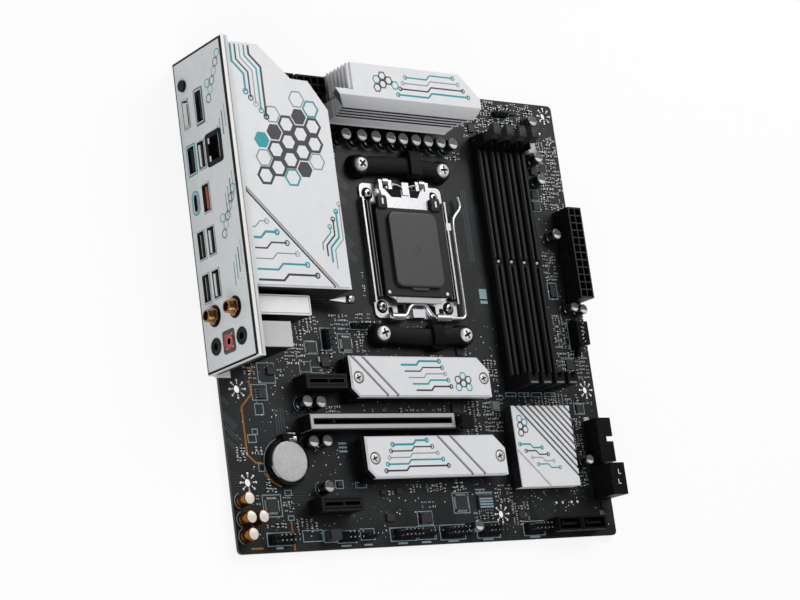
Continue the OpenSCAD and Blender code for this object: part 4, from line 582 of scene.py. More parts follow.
# Socket lever: one round wire, bent flat
LEVER_Z = 4.86
lever = bent([(106, 117.34), (117, 117.34), (121, 124.24), (131, 124.24), (135, 117.34), (156.8, 117.34),
              (156.8, 168.6), (157.8, 172.8), (164, 178.6), (162.6, 184.4)], 3.4, 7)
put("lever_wire", sweep(at_height(lever, LEVER_Z), circle(1.1, 14)[0]), STAINLESS, "load_lever", "load_lever")

# Pick-up cap: thin flange with cut corners, a panel with a domed lid, two ears and two legs
flange = polygon([(SX - 20.6, 127.9), (SX + 20.6, 127.9), (SX + 22.1, 129.4), (SX + 22.1, 173.7),
                  (SX + 20.6, 175.24), (SX - 20.6, 175.24), (SX - 22.1, 173.7), (SX - 22.1, 129.4)])
panel = round_rect(31.6, 40.1, 4.4, 7)
PANEL_AT, NIB_AT = (SX, 152.5), (SX, 152.2)
EAR_X = [SX - 17.6, SX + 17.6]
ears = [stack(round_rect(6.2, 7.4, 1.4), [(0, 6.85), (0, 8.6), (0.4, 9.0), (1.0, 9.1)], (x, 177.9))
        for x in EAR_X]
legs = [block((SX + s * 15.9 - 0.6, SY - 5, 5.1), (SX + s * 15.9 + 0.6, SY + 5, 7.0)) for s in BOTH]
put("cap_flange", [stack(flange, [(0.25, 6.8), (0, 7.05), (0, 7.65), (0.25, 7.9)]),
                   stack(panel, [(-0.15, 7.8), (0, 8.0), (0, 9.6)], PANEL_AT), *ears, *legs], CAP_NYLON,
    "socket_cap", "socket_cap")
dome = stack(panel, [(0.1, 9.4), (0, 9.6), (0.05, 9.85), (0.2, 10.0), (0.5, 10.1), (1.2, 10.1)], PANEL_AT)
ring = sweep(at_height(circle(2.1, 32)[0] + NIB_AT, 10.1),
             [(-0.25, -0.05), (0.25, -0.05), (0.15, 0.14), (-0.15, 0.14)], closed=True)
nib = placed(lathe([(0.5, 10.05), (0.5, 10.2), (0.3, 10.26)], 12), NIB_AT)
put("cap_panel", [dome, ring, nib, block((SX - 5.5, 130.9, 7.85), (SX + 5.5, 133, 9.0), 0.3)], CAP_PANEL,
    "socket_cap")
# Painted highlight in the slots of the cap's ears
put("cap_ear_slot_highlights", placed(block((-0.55, 176.6, 9.05), (0.55, 179.8, 9.16), 0.04), [(x, 0) for x in EAR_X]),
    PAINTED_HIGHLIGHT, "socket_cap")

# Load plate: two notches in its hinged edge, filled with painted shade right through, with a thin arm across
# each
notches = [[(112.6, 185.8), (116.9, 181.4), (123.5, 181.6), (123.5, 185.8)],
           [(129.1, 185.8), (129.1, 181.8), (134.1, 181.7), (136.6, 185.8)]]
put("plate_window_shade", [prism(n, 5.44, 6.76) for n in notches], PAINTED_SHADE, "load_plate")
arms = [[(117.4, 188.6, 6.4), (120.6, 188.5, 6.5), (124.4, 187.3, 6.5)],
        [(128.2, 187.3, 6.5), (131.8, 188.5, 6.5), (134.4, 188.6, 6.4)]]
put("plate_arms", [sweep(bent(a, 1.2, 5), circle(0.5, 10)[0]) for a in arms], STAINLESS, "load_plate")
# Two pips on the cap's flange, drawn as painted highlight, and the lip of the load plate
put("cap_pip_highlights", placed(lathe([(0.9, 7.8), (0.9, 8.1), (0.6, 8.25)], 16), [(106.1, 129.7), (144.2, 129.7)]),
    PAINTED_HIGHLIGHT, "socket_cap")
put("plate_lip", block((SX - 15.4, 124.5, 6.3), (SX + 14.2, 127.7, 7.0), 0.25), ARMOUR, "load_plate")

# Socket frame and base: cut-outs filled with painted shade, and thin lines along the sides
CUTOUTS = [(4.4, 6.2, (115.9, 121.3)), (7.0, 2.6, (SX, 121.2)), (4.4, 6.2, (136.7, 121.3)),
           (3.0, 5.0, (109.3, 120.6)), (3.0, 5.0, (142.6, 120.6))]
cutouts = [stack(round_rect(w, d, 1.0), [(0, 2.7), (0, 2.84)], at) for w, d, at in CUTOUTS]
put("frame_cutout_shade", cutouts + [block((118.3, 184.6, 2.7), (133.5, 189.2, 2.86))], PAINTED_SHADE)
put("socket_lines", [ribbon([(x, 128), (x, 179)], 0.4, 5.2, 0.08) for x in (101.4, 103.2, 149.4, 151.2)],
    GREY_INK)
# Contact springs of the socket: small domes in staggered rows round the open middle
xs, ys = np.arange(-17.6, 17.7, 1.1), np.arange(-17.9, 18, 0.55)
springs = grid(xs, ys)
springs[:, 0] += np.repeat(np.where(np.arange(len(ys)) % 2, 0.55, 0), len(xs)) - 0.25
springs = springs[(np.abs(springs[:, 0]) > 6.1) | (np.abs(springs[:, 1]) > 7.1)] + [SX, SY]
put("contact_springs", placed(lathe([(0.24, 3.35), (0.24, 3.45), (0.12, 3.58)], 6), springs), GOLD)
# Wings along both sides of the socket
put("socket_wings", [block((x - 1.75, 127, 2.75), (x + 1.75, 179.6, 5.2), 0.4) for x in (102.25, 150.35)],
    BLACK_NYLON)


# Cooler brackets: a rounded bar bowed away from the socket, dished bosses and a clip lug
def bracket(side):
    """Bar: a rounded profile carried along a bow. Bosses: rings about Z that dip to a seat. Lug: a rounded
    stack, with a strap bent over it."""
    y, half = SY + side * COOLER_D / 2, COOLER_W / 2
    x = np.linspace(-half, half, 25)
    bow = side * (1.6 * (1 - (x / half) ** 2) - 0.2)
    bar = sweep(at_height(np.column_stack([SX + x, y + bow]), TOP),
                [(-4.7, 0), (4.7, 0), (4.6, 4.4), (4.1, 5.3), (3.2, 5.7), (-3.2, 5.7), (-4.1, 5.3),
                 (-4.6, 4.4)])
    boss = lathe([(6.6, TOP), (6.2, 3.2), (5.6, 6.0), (5.3, 6.8), (4.7, 7.2), (4.2, 7.1), (4.0, 6.62),
                  (1.7, 6.6)], 32)
    lug = stack(round_rect(9.6, 13.2, 2.2), [(0, TOP), (0, 5.9), (0.3, 6.6), (0.9, 6.9)],
                (SX + 8.6, y + side * 1.2))
    far = 9.4 if side > 0 else 5.8
    arch = [(-4.9, 2.4), (-4.7, 6.9), (-3.4, 8.2), (far - 2.6, 8.5), (far - 0.6, 7.8), (far, 5.6), (far, 2.0)]
    strap = sweep([(SX + 8.3, y + side * u, v) for u, v in arch[::side]], corners(-0.7, -3.6, 0.7, 3.6),
                  up=(1, 0, 0))
    return [bar, placed(boss, [(SX - half, y), (SX + half, y)]), lug, strap]


put("bracket_upper", bracket(1), BLACK_NYLON, stands_for="cooler_bracket_upper")
put("bracket_lower", bracket(-1), BLACK_NYLON, stands_for="cooler_bracket_lower")

# Memory slots: a raised rail on both sides of each groove, a shade paler as painted sheen, contacts inside
# it, a bright stop at each key
KEY_Y = 149.2
RAIL_AT, RAIL_W = 1.75, 1.7  # from the groove's middle, and broad
rails = [block((x + s * RAIL_AT - RAIL_W / 2, y0, 7.1), (x + s * RAIL_AT + RAIL_W / 2, y1, 7.75), 0.3)
         for x in DIMM_X for s in BOTH for y0, y1 in ((86.4, KEY_Y - 1.6), (KEY_Y + 1.6, 211.2))]
contact_rows = np.concatenate([np.arange(84, KEY_Y - 1.5, 0.85), np.arange(KEY_Y + 1.9, 210, 0.85)])
put("memory_rails", rails, SHEENED_RAIL)
put("memory_contacts", placed(block((-0.12, -0.2, 3.2), (0.12, 0.2, 5.3)),
                              grid([x + s * 0.68 for x in DIMM_X for s in BOTH], contact_rows)), GOLD)
put("memory_key_stops", placed(stack(round_rect(1.6, 1.5, 0.5), [(0, 2.9), (0, 7.5), (0.35, 7.85)]),
                               [(x, KEY_Y) for x in DIMM_X]), TIN)
# Painted highlight on the lit front edges of the memory latch towers
put("tower_edge_highlights", placed(block((-2.5, 79.2, 21.75), (2.5, 80.3, 21.95), 0.08), [(x, 0) for x in DIMM_X]),
    NYLON_HIGHLIGHT)
grip = stack(round_rect(5.4, 5.6, 1.0), [(0, 21.7), (0, 21.9), (0.3, 22.2), (0.9, 22.35)])
for i, x in enumerate(DIMM_X, 1):
    put(f"latch_grip_{i}", placed(grip, (x, 218.6)), GREY_NYLON, f"dimm_latch_{i}")


# Capacitors: a drawn can on a black foot, with a printed segment on its bright top that is also painted
# shade, leaving a bright crescent on the near side
def capacitor(r, h):
    """Can: revolved profile of a foot crimp, a neck, a straight wall and a shoulder round a sunk top.
    Foot: a rounded square. Top: a low disc. Mark: a slice of that disc between an arc and its chord: print,
    and painted shade over the far part of the top."""
    end = TOP + h
    can = lathe([(0.9 * r, TOP + 0.45), (r, TOP + 0.75), (r, TOP + 1.35), (0.93 * r, TOP + 1.6),
                 (0.93 * r, TOP + 1.8), (r, TOP + 2.1), (r, end - 0.5), (0.97 * r, end - 0.2),
                 (0.9 * r, end - 0.03), (0.86 * r, end - 0.02), (0.8 * r, end - 0.08)])
    foot = stack(round_rect(2 * r, 2 * r, 0.6 * r, 5), [(0, TOP), (0, TOP + 0.5), (0.15, TOP + 0.6)])
    top = lathe([(0.78 * r, end - 0.3), (0.78 * r, end), (0.77 * r, end + 0.02)])
    a = 1.45 + np.linspace(-1.82, 1.82, 21)
    mark_and_shade = prism(0.78 * r * np.stack([np.cos(a), np.sin(a)], 1), end + 0.01, end + 0.01 + INK)
    return can, top, foot, mark_and_shade


sets = zip(*[[placed(shape, places) for shape in capacitor(r, h)] for r, h, places in CANS])
# The marks are print and painted shade at once: they darken the far part of each top
CAN_LOOKS = [("cans", CAN, "polymer_capacitors", None), ("tops", LID, None, "can_aluminium"),
             ("feet", BLACK_NYLON, None, None), ("marks", MARK_AND_SHADE_INK, None, None)]
for shapes, (name, finish, node, slot) in zip(sets, CAN_LOOKS):
    put(f"capacitor_{name}", list(shapes), finish, stands_for=node)
sleeve = lathe([(3.0, TOP), (3.15, TOP + 0.2), (3.15, TOP + 1.0), (2.95, TOP + 1.3), (2.95, TOP + 1.5),
                (3.15, TOP + 1.8), (3.15, 8.4), (3.05, 8.72), (2.75, 8.85), (2.6, 8.8)])
put("audio_can_sleeves", placed(sleeve, AUDIO_CANS), GOLD_CAN, stands_for="audio_capacitors")
vented = [lathe([(2.62, 8.7), (2.62, 8.86), (2.5, 8.9)]), block((-2, -0.1, 8.88), (2, 0.1, 8.94)),
          block((-0.1, -2, 8.88), (0.1, 2, 8.94))]
put("audio_can_lids", placed(join(vented), AUDIO_CANS, 0.5), LID)

# Coin cell: a can with a rolled rim and a flat crown, and its spring clip
cell = lathe([(8.6, 3.0), (9.0, 3.05), (9.1, 3.5), (9.7, 3.6), (10, 3.9), (10, 5.7), (9.9, 6.0), (9.6, 6.2),
              (9.2, 6.22)], 64)
put("cell_can", placed(cell, COIN), CELL_STEEL, "coin_cell", "coin_cell")
clip = [(35.5, u, v) for u, v in ((57.4, 5.75), (56.7, 5.75), (56.5, 3.4), (55.4, 3.4), (55.2, 6.5),
                                  (54.2, 6.7), (52.9, 6.4))]
put("cell_clip", sweep(clip, corners(-0.15, -2.2, 0.15, 2.2), up=(1, 0, 0)), NICKEL)

# Antenna connectors: a threaded barrel, a nut and a centre contact, and behind each a dark ring of painted
# shadow in the panel's cut-out
AERIALS = [(0, 113.94, 9.3), (0, 113.94, 27.3)]
threads = np.arange(0, 3.4, 0.1)
barrel = [(3.1, -6), *zip(3.1 - 0.18 * (0.5 + 0.5 * np.cos(2 * np.pi * threads / 0.68)), 4.6 + threads),
          (2.95, 8.1), (2.6, 8.2), (2.3, 8.1), (2.3, 3.0)]
aerial = [lathe(barrel, 32), stack(circle(4.5, 6), [(0.3, 3.05), (0, 3.3), (0, 4.4), (0.35, 4.7)]),
          lathe([(0.75, 3.0), (0.75, 6.6), (0.4, 6.9)], 12), lathe([(4.1, -5.5), (4.1, 1.9)])]
put("antenna_barrels", placed(rearward(join(aerial)), AERIALS), BRASS, stands_for="antenna_connectors")
put("antenna_cutout_shadows", placed(rearward(lathe([(5.4, 2.9), (5.4, 3.05), (5.2, 3.1)], 32)), AERIALS), PAINTED_SHADE)

# Rear panel: painted highlight along its rolled edge, painted shadow lines along its edges, a foot on the
# board
FACE = -3.0


def on_panel(path, w, closed=False, t=INK):
    """Flat strip on the panel's outer face along a path of (y, z) points."""
    line = np.column_stack([np.full(len(path), FACE), np.array(path, float)])
    return sweep(line, corners(-w / 2, 0, w / 2, t), up=(-1, 0, 0), closed=closed)


def port_frame(y, z, w, h, r=0.6, n=4):
    """Rounded outline round a port, as (y, z) points."""
    return round_rect(w, h, r, n)[0] + [y, z]


put("panel_shadow_lines", [on_panel([(87.6, 41.05), (244.9, 41.05)], 2.2),
                   on_panel([(87.9, -1.8), (87.9, 39.9)], 1.1),
                   on_panel([(244.6, -1.8), (244.6, 39.9)], 1.0),
                   on_panel([(87.6, -1.8), (244.9, -1.8)], 0.7),
                   block((-0.9, 86.88, -1.6), (0.7, 86.98, 41.6))], PAINTED_SHADE)
put("panel_foot", block((-2.2, 85.4, TOP), (6.9, 92.6, TOP + 0.5), 0.12), LID)
put("panel_screw", placed(rearward(screw(1.3, 0.25, 3.0, 0.8, 1.2, cross, 0.15)), (0, 125, 36.3)), NICKEL)
# Painted shade: a thin grey line beside the rolled edge
put("panel_shade_line", ribbon([(-0.8, 87.6), (-0.8, 244.7)], 0.5, 42.2), GREY_INK)
bead = [(-0.85, 0), (0.85, 0), (0.8, 0.06), (0.45, 0.1), (0, 0.12), (-0.45, 0.1), (-0.8, 0.06)]
put("panel_edge_highlight", sweep([(-2.1, 87.2, 42.18), (-2.1, 245.1, 42.18)], bead), PAINTED_HIGHLIGHT)

# Ports: where their stacks are along Y, then tongues, jacks, floors, rims of painted shade and contacts
VIDEO, LAN, ROUND, FLAT_1, FLAT_2, JACKS = 217.24, 193.34, 171.64, 150.14, 128.64, 99.14
FLAT_PORTS = [(0, y, z) for y in (LAN, FLAT_1, FLAT_2) for z in (5.4, 14.2)]
FAST = [(0, ROUND, 14.2)]
LAN_Z = 25.9
JACK_LOW, JACK_MIDDLE, JACK_HIGH = ((0, JACKS, z) for z in (7.8, 19.05, 30.3))
put("panel_port_rings", [on_panel(port_frame(LAN, 5.4, 15.2, 7.6), 0.9, True),
                         on_panel(port_frame(ROUND, 4.7, 11.6, 6.0, 2.9, 8), 0.9, True)], TEAL_INK)


def insert(w, h, rows, r=0.2):
    """Rounded bar that reaches out of a port, as a stack along its depth."""
    return rearward(stack(round_rect(w, h, r), rows))


def jack(*profile):
    """Revolved bush of a sound jack, along its depth."""
    return rearward(lathe(profile, 32))


tongue = join([insert(11.3, 2.0, [(0, -9.4), (0, 2.4), (0.2, 2.6)], 0.3),
               insert(12.2, 4.9, [(0, -9.2), (0, -8.6)], 0)])
thin_rows = [(0, -7), (0, 1.9), (0.15, 2.05)]
lan_room = polygon([(-5.85, -3.35), (-3.05, -3.35), (-3.05, -5.15), (3.05, -5.15), (3.05, -3.35),
                    (5.85, -3.35), (5.85, 4.35), (-5.85, 4.35)])
lan_box = rearward(stack(lan_room, [(0, -9.8), (0, 3.1), (0.12, 3.1), (0.12, -9.5)]))
bush = jack((3.65, -2), (3.65, 3.05), (4.3, 3.05), (4.3, 3.3), (4.1, 3.5), (2.9, 3.45), (1.75, 3.3),
            (1.7, -9))
put("port_tongues", [placed(tongue, FLAT_PORTS), placed(insert(10.5, 1.3, thin_rows), (0, VIDEO, 5.2)),
                     placed(insert(11.7, 1.3, thin_rows), (0, VIDEO, 16.9)),
                     placed(insert(15.4, 5.3, [(0, -6.9), (0, -6.4)], 0), (0, VIDEO, 17.1)),
                     placed(insert(6.5, 0.8, [(0, -4), *thin_rows[1:]]), (0, ROUND, 4.7)),
                     placed(lan_box, (0, LAN, LAN_Z)), placed(bush, [JACK_LOW, JACK_HIGH]),
                     placed(jack((1.88, -9), (1.88, 3.0), (1.5, 3.0), (1.45, -8.8)), JACK_MIDDLE)],
    BLACK_NYLON)
put("port_tongue_fast", placed(tongue, FAST), ORANGE)
put("jack_middle", placed(jack((3.65, -2), (3.65, 3.05), (3.9, 3.05), (3.9, 3.3), (3.7, 3.5), (2.3, 3.45),
                               (1.95, 3.2), (1.9, -9)), JACK_MIDDLE), RED)
put("jack_patch", on_panel(port_frame(*JACK_MIDDLE[1:], 9.2, 8.6), 2.2, True), DARK_INK)
ramp = sweep([(0, -5.6, 0), (0, 5.6, 0)], [(-0.8, -0.7), (0.8, -0.7), (0.8, 0.7)])
put("port_floors", [placed(ramp, [(-2.0, y, 12.6) for y in (LAN, FLAT_1, FLAT_2)]),
                    placed(ramp, (-1.8, VIDEO, 3.3), sizes=(1.5, 1.15, 1.5)),
                    placed(ramp, [(-2.3, y, 4.6) for y in (FLAT_1, FLAT_2)], sizes=(0.4, 1, 0.4))], SATIN)
rims = [(y, z, 13.6, 6.2) for _, y, z in FLAT_PORTS[1:] + FAST] + [(VIDEO, 17.1, 18.4, 7.6)]
# Painted shade round the ports, and filling the mouth of the LAN port
put("port_rim_shade", [on_panel(port_frame(LAN, LAN_Z, 14.2, 11.8), 2.4, True, 0.26),
                  *[on_panel(port_frame(*r), 0.45, True) for r in rims]], PAINTED_SHADE)
finger = rearward(block((-0.3, -1.0, -6), (0.3, -0.9, 1.5)))
comb = rearward(block((-0.15, 3.1, -6), (0.15, 3.35, 1.6)))
put("port_contacts", [placed(finger, [(0, y + dy, z + 0.02) for _, y, z in FLAT_PORTS + FAST
                                      for dy in (-3.5, -1.2, 1.2, 3.5)]),
                      placed(comb, [(0, LAN + 1.02 * k, LAN_Z) for k in np.arange(-3.5, 4)])], GOLD)

# Print: a honeycomb and runs of circuit lines that end in rings, in teal (t), charcoal (c) and grey (g)
prints = {"t": [], "c": [], "g": []}


def run(inks, path, z, first=0, last=0):
    """Printed lines side by side: each word of inks is a colour and a width, path(k) gives the k-th line's
    points, and a ring of the given radius may end it on either side."""
    for k, ink in enumerate(inks.split()):
        w, points = float(ink[1:]), path(k)
        prints[ink[0]].append(ribbon(points, w, z))
        prints[ink[0]] += [ribbon(circle(r, 20)[0] + end, 0.7 * w, z + 0.001, closed=True)
                           for end, r in ((points[0], first), (points[-1], last)) if r]


def cells(colour, corner, r, spots, z, w=None):
    """Hexagons of a honeycomb at (column, row) spots: outlines of width w, or filled."""
    for column, row in spots:
        at = np.array(corner) + [1.5 * r * column, np.sqrt(3) * r * (row + 0.5 * (column % 2))]
        hexagon = circle(r * 0.86, 6)[0] + at
        prints[colour].append(ribbon(hexagon, w, z, closed=True) if w else prism(hexagon, z, z + INK))


COMB = (15, 176), 5.2
cells("c", *COMB, [(0, 0), (1, 0), (1, 1), (2, 1), (2, 2), (3, 1), (3, 2), (2, 3), (4, 3), (4, 2)], COVER_Z,
      1.3)
cells("c", *COMB, [(1, 2), (3, 3), (3, 0)], COVER_Z)
cells("t", *COMB, [(2, 0), (4, 4)], COVER_Z, 1.0)
cells("t", *COMB, [(0, 2)], COVER_Z)
cells("g", *COMB, [(1, 3), (0, 1), (3, 4), (4, 1)], COVER_Z, 0.7)
run("t1.2 c0.9 g0.6 t0.9 c1.2", lambda k: [(3 + 2.6 * k, 242), (3 + 2.6 * k, 233 + 1.1 * k),
                                           (9 + 2.6 * k, 227 + 1.1 * k), (9 + 2.6 * k, 218 - 3 * k)],
    COVER_Z, last=1.3)
run("g0.6 t1.1 c0.9 t0.7", lambda k: [(56 - 2.4 * k, 164 - 4 * k), (56 - 2.4 * k, 146 + k),
                                      (50.5 - 2.4 * k, 140.5 + k), (50.5 - 2.4 * k, 131 + 3 * k)], COVER_Z,
    first=1.1)
run("c1.1 t1.0 g0.6 c0.8 t1.2 g0.6", lambda k: [(3.4, 124 + 5.2 * k), (18 - 2.6 * k, 124 + 5.2 * k),
                                                (21 - 2.6 * k, 127 + 5.2 * k),
                                                (37.8 - 5.2 * k, 127 + 5.2 * k)], COVER_Z, last=1.2)
run("t1.0 c0.8 g0.6 t0.8", lambda k: [(110 + 2 * k, 228.4 + 3.3 * k), (130, 228.4 + 3.3 * k),
                                      (132.5, 230.9 + 3.3 * k), (157 - 3 * k, 230.9 + 3.3 * k)], UPPER_Z,
    1.0, 1.0)
cells("c", (97, 231), 2.6, [(0, 0), (1, 0), (2, 1), (1, 1)], UPPER_Z, 0.7)
cells("t", (97, 231), 2.6, [(0, 1), (3, 0)], UPPER_Z, 0.7)
run("c0.9 t0.9 g0.6 c0.7 t1.1", lambda k: [(112 - 2 * k, 77.4 + 3.3 * k), (122 - 2 * k, 77.4 + 3.3 * k),
                                           (124 - 2 * k, 79.4 + 3.3 * k), (135 - 1.5 * k, 79.4 + 3.3 * k)],
    SINK_Z, last=1.0)
run("c0.9 t0.9 g0.6 c0.7 t1.1", lambda k: [(86 + 1.5 * k, 36.4 + 3.3 * k), (99 + 1.5 * k, 36.4 + 3.3 * k),
                                           (101 + 1.5 * k, 38.4 + 3.3 * k), (126 - 3 * k, 38.4 + 3.3 * k)],
    SINK_Z, 1.0, 1.0)
run("t0.9 c0.7 g0.5 t0.7", lambda k: [(177 + 3.6 * k, 49 - 3.6 * k), (184 + 3.6 * k, 49 - 3.6 * k),
                                      (186 + 3.6 * k, 47 - 3.6 * k), (192 + 3.6 * k, 47 - 3.6 * k)], CHIP_Z,
    0.9, 0.9)
cells("c", (179, 55), 2.2, [(0, 0), (1, 0), (0, 1)], CHIP_Z, 0.6)
cells("t", (179, 55), 2.2, [(0, 2), (1, 1)], CHIP_Z, 0.6)
cells("t", (140, 79), 2.3, [(0, 0), (2, 0), (1, 1)], SINK_Z, 0.6)
cells("c", (140, 79), 2.3, [(1, 0), (0, 1), (2, 1)], SINK_Z, 0.6)
for colour, column, row in zip("cgtcgct", (0, 1, 2, 2, 3, 4, 5), (0, 0, 0, 1, 1, 2, 2)):
    at = [226 + 3.9 * (column - 2), 26 + 2.6 * np.sqrt(3) * (row + 0.5 * (column % 2))]
    prints[colour] += [on_panel(circle(2.2, 6)[0] + at + [back, 0], 0.5, True) for back in (0, -68)]
for k, (colour, w) in enumerate((("g", 0.5), ("c", 0.7), ("t", 0.6), ("c", 0.4))):
    prints[colour] += [on_panel([(y - 3 * k, 37.8 - 2.4 * k), (y - 12 - 3 * k, 37.8 - 2.4 * k)], w)
                       for y in (212, 178, 144)]
for name, ink in (("teal", TEAL_INK), ("charcoal", DARK_INK), ("grey", GREY_INK)):
    put(f"print_{name}", prints[name[0]], ink)

# Grooves of the covers: painted shade on their floors and flanks
GROOVES = [(73.9, 74.14), (80.4, 74.14), (121.6, 33.14), (129.8, 33.14)]
floors = [ribbon([(x, y + 20.5), (x + 20.1, y + 0.4)], 1.2, 10.68) for x, y in GROOVES]
put("groove_floor_shade", [ribbon([(1.6, 168.84), (48.1, 121.84)], 1.4, 39.68), *floors], DARK_INK)
flanks = [ribbon([(x + 0.7, y + 20.1), (x + 20.1, y + 0.7)], 0.9, SINK_Z) for x, y in GROOVES]
put("groove_flank_shade", [*flanks, ribbon([(2.2, 169.9), (49.6, 122.0)], 0.8, COVER_Z)], SHADE)

# Painted shade on the sides of the port cover, the jack block, the long card slot and the heatsinks; plates
# and outline of the Wi-Fi module; rims of the short card slots
COVER = [(1.2, 121.04), (57.9, 121.04), (57.6, 212.84), (47.3, 227.14), (37.1, 227.44), (19.7, 243.44),
         (1.2, 243.44)]
put("cover_side_shade", sweep(at_height(COVER, 22.0), corners(-0.02, 0, 0.12, 17.2), closed=True), ANODISED)
put("module_outline", ribbon(corners(6.4, 109.8, 35.2, 118.0), 0.35, 34.3, closed=True), GREY_INK)
put("module_plates", stack(round_rect(30.6, 9.9, 0.8), [(0, 33.4), (0, 34.1), (0.2, 34.3)], (20.8, 113.89)),
    WHITE_ABS)
put("jack_block_side_shade", sweep(at_height(corners(-1.4, 93.04, 22, 105.24), TOP), corners(-0.02, 0, 0.1, 32.6),
                              closed=True), BLACK_NYLON)
sides = [block((43.0, LONG_SLOT_Y + s * 4.14 - 0.06, 2.9), (132.7, LONG_SLOT_Y + s * 4.14 + 0.06, 12.5))
         for s in BOTH]
sides += [ribbon([(43.0, LONG_SLOT_Y + s * 3.88), (132.8, LONG_SLOT_Y + s * 3.88)], 0.44, 13.05)
          for s in BOTH]
put("long_slot_side_shade", [*sides, block((42.86, 57.5, 2.9), (42.98, 65.4, 12.5))], BLACK_NYLON)
skirts = [sweep([(x + 4.4, y, 7.3), (x, y + 4.4, 7.3), (x, y + 20.85, 7.3)], corners(-0.1, 0, 0.05, 3.2))
          for x, y in ((72, 74.14), (75.6, 33.14))]
put("sink_side_shade", [block((174.68, 26.4, 3.9), (174.82, 69.5, 9.3)), *skirts], ANODISED)
# Painted shade on the flanks of the chipset heatsink's ridges, which slant at 45 degrees and stop at its
# sides: along each, the distances from the sink's corner in X and Y add up to the same
SINK_X, SINK_Y, SINK_W, SINK_D = 174.8, 26.34, 40.6, 43.2
RIDGES, RIDGE_STEP, RIDGE_W = 9, 3.0, 1.3
shades = []
for i in range(RIDGES):
    total = 46 + (RIDGE_STEP * i + RIDGE_W / 2) * np.sqrt(2) - 0.02
    away = max(total - SINK_D, 0) + 0.05, min(total, SINK_W) - 0.05
    flank = [(SINK_X + a, SINK_Y + total - a, 8.25) for a in away]
    shades.append(sweep(flank, corners(-0.02, 0, 0.06, 1.72)))
put("ridge_flank_shade", shades, SHADE)
# Rims of the short card slots, a shade paler than black as painted sheen on their lit edges
put("short_slot_rims", [ribbon(corners(x0, y - d, x1, y + d), w, 12.6, 0.12, True) for y in SHORT_SLOTS_Y
                        for x0, x1, d, w in ((44.2, 67.6, 3.2, 0.5), (45.2, 66.6, 1.2, 0.4))], SHEENED_RAIL)

# Copper: the gold line round the sound section, runs under the mask, tinned pads of the standoff holes
gold = [[(20, 92.8), (19.6, 89.5), (17.7, 86.6)], [(19.6, 38.7), (25, 33.7), (27.5, 32.4)],
        [(32.1, 14.9), (32.5, 0.6)],
        [(17.3, 84.5), (17.7, 77.4), (11.3, 71.2), (11.4, 47.8), (15.8, 43.7), (19.6, 43.7)],
        [(7.5, 2.4), (14.2, 2.4)]]
put("gold_line", [ribbon(path, 0.9, TOP, 0.04) for path in gold], FLASHED)
# Runs as the first line's start, their direction and length, how many lie side by side and how far apart
RUNS = [((0.9, 76.2), (1, -1), 5, 2, 1.3), ((0.9, 68.4), (1, -1), 9.5, 3, 1.2),
        ((0.9, 62.4), (1, -1), 9.5, 2, 1.3), ((0.9, 56.2), (1, -1), 6, 2, 1.3),
        ((86, 195), (1, -1), 11, 4, 1.15), ((86, 184.6), (1, -1), 8, 3, 1.3),
        ((85.6, 163.4), (1, -1), 10, 4, 1.3), ((87, 154.4), (1, -1), 9, 3, 1.3),
        ((30.5, 57.6), (0, 1), 13, 4, 1.5), ((168.4, 150), (0, 1), 40, 3, 1.4)]
runs = []
for start, way, length, count, pitch in RUNS:
    way = np.array(way) / np.hypot(*way)
    starts = [start + i * pitch * np.array([way[1], -way[0]]) for i in range(count)]
    runs += [ribbon([first, first + length * way], 0.5, TOP) for first in starts]
put("broad_runs", runs, BROAD_RUN)
spoke = [stack(round_rect(1.2, 0.5, 0.24), [(0, 0), (0, 0.04), (0.1, 0.08)], (3.1, 0)),
         placed(lathe([(0.62, 0), (0.55, 0.1), (0.3, 0.18)], 12), (4.4, 0))]
pads = placed(join(spoke), np.zeros((8, 2)), angles(8))
put("hole_pads", [placed(pads, at_height(HOLES, TOP)), placed(flipped(pads), HOLES)], LID)


# Upper heatsink: a lip that reaches farther left than the block behind it, thin steps and a broad foot
def across(outline, xs, limits):
    """Rings of one (y, z) outline at places along X, each drawn in to a limit in Y."""
    p = np.array(outline, float)
    return loft([np.column_stack([np.zeros(len(p)) + x, np.minimum(p[:, 0], y), p[:, 1]])
                 for x, y in zip(xs, limits)])


def end_x(y, z):
    """Slanting plane that ends the lip on the left: it runs in toward the foot of the slope."""
    return 72.4 - 0.7595 * (y - 225.64) - 0.4676 * (z - 32)


BACK, LIP_BACK, STEP_BACK, TRUNK_FRONT = 243.44, 228.8, 228, 227
LEFT, RIGHT = 81.3, 152.3  # between these the sink is as deep as it gets
crown = np.array([(BACK, 24.4), (BACK, 32), (225.64, 32), (221.54, 25.4), (221.54, 24.4)])
lip_y = np.minimum(crown[:, 0], LIP_BACK)
lip_x = end_x(lip_y, crown[:, 1])
top = across(crown, [lip_x, LEFT, LEFT + 0.01, RIGHT, 165.1], [LIP_BACK, LIP_BACK, BACK, BACK, 230.64])
trunk = across([(BACK, 9.0), (BACK, 24.5), (TRUNK_FRONT, 24.5), (TRUNK_FRONT, 9.0)], [LEFT, RIGHT, 164],
               [BACK, BACK, 231.7])
STEPS = [(220.85, 23.2), (220.15, 21.2), (219.45, 19.2)]
steps = [block((79.5 - 0.4 * i, y, z - 1.0), (162.6 - 2.0 * i, STEP_BACK, z))
         for i, (y, z) in enumerate(STEPS)]
foot = across([(STEP_BACK, 9.8), (STEP_BACK, 17.2), (218.75, 17.2), (217.9, 10.6), (217.5, 10.5),
               (217.5, 9.8)], [78.3, 156.2], [STEP_BACK, STEP_BACK])
fins = [block((79.6, 229.6, 29.4 - 3.2 * k), (82, 243.2, 30.9 - 3.2 * k), 0.1) for k in range(6)]
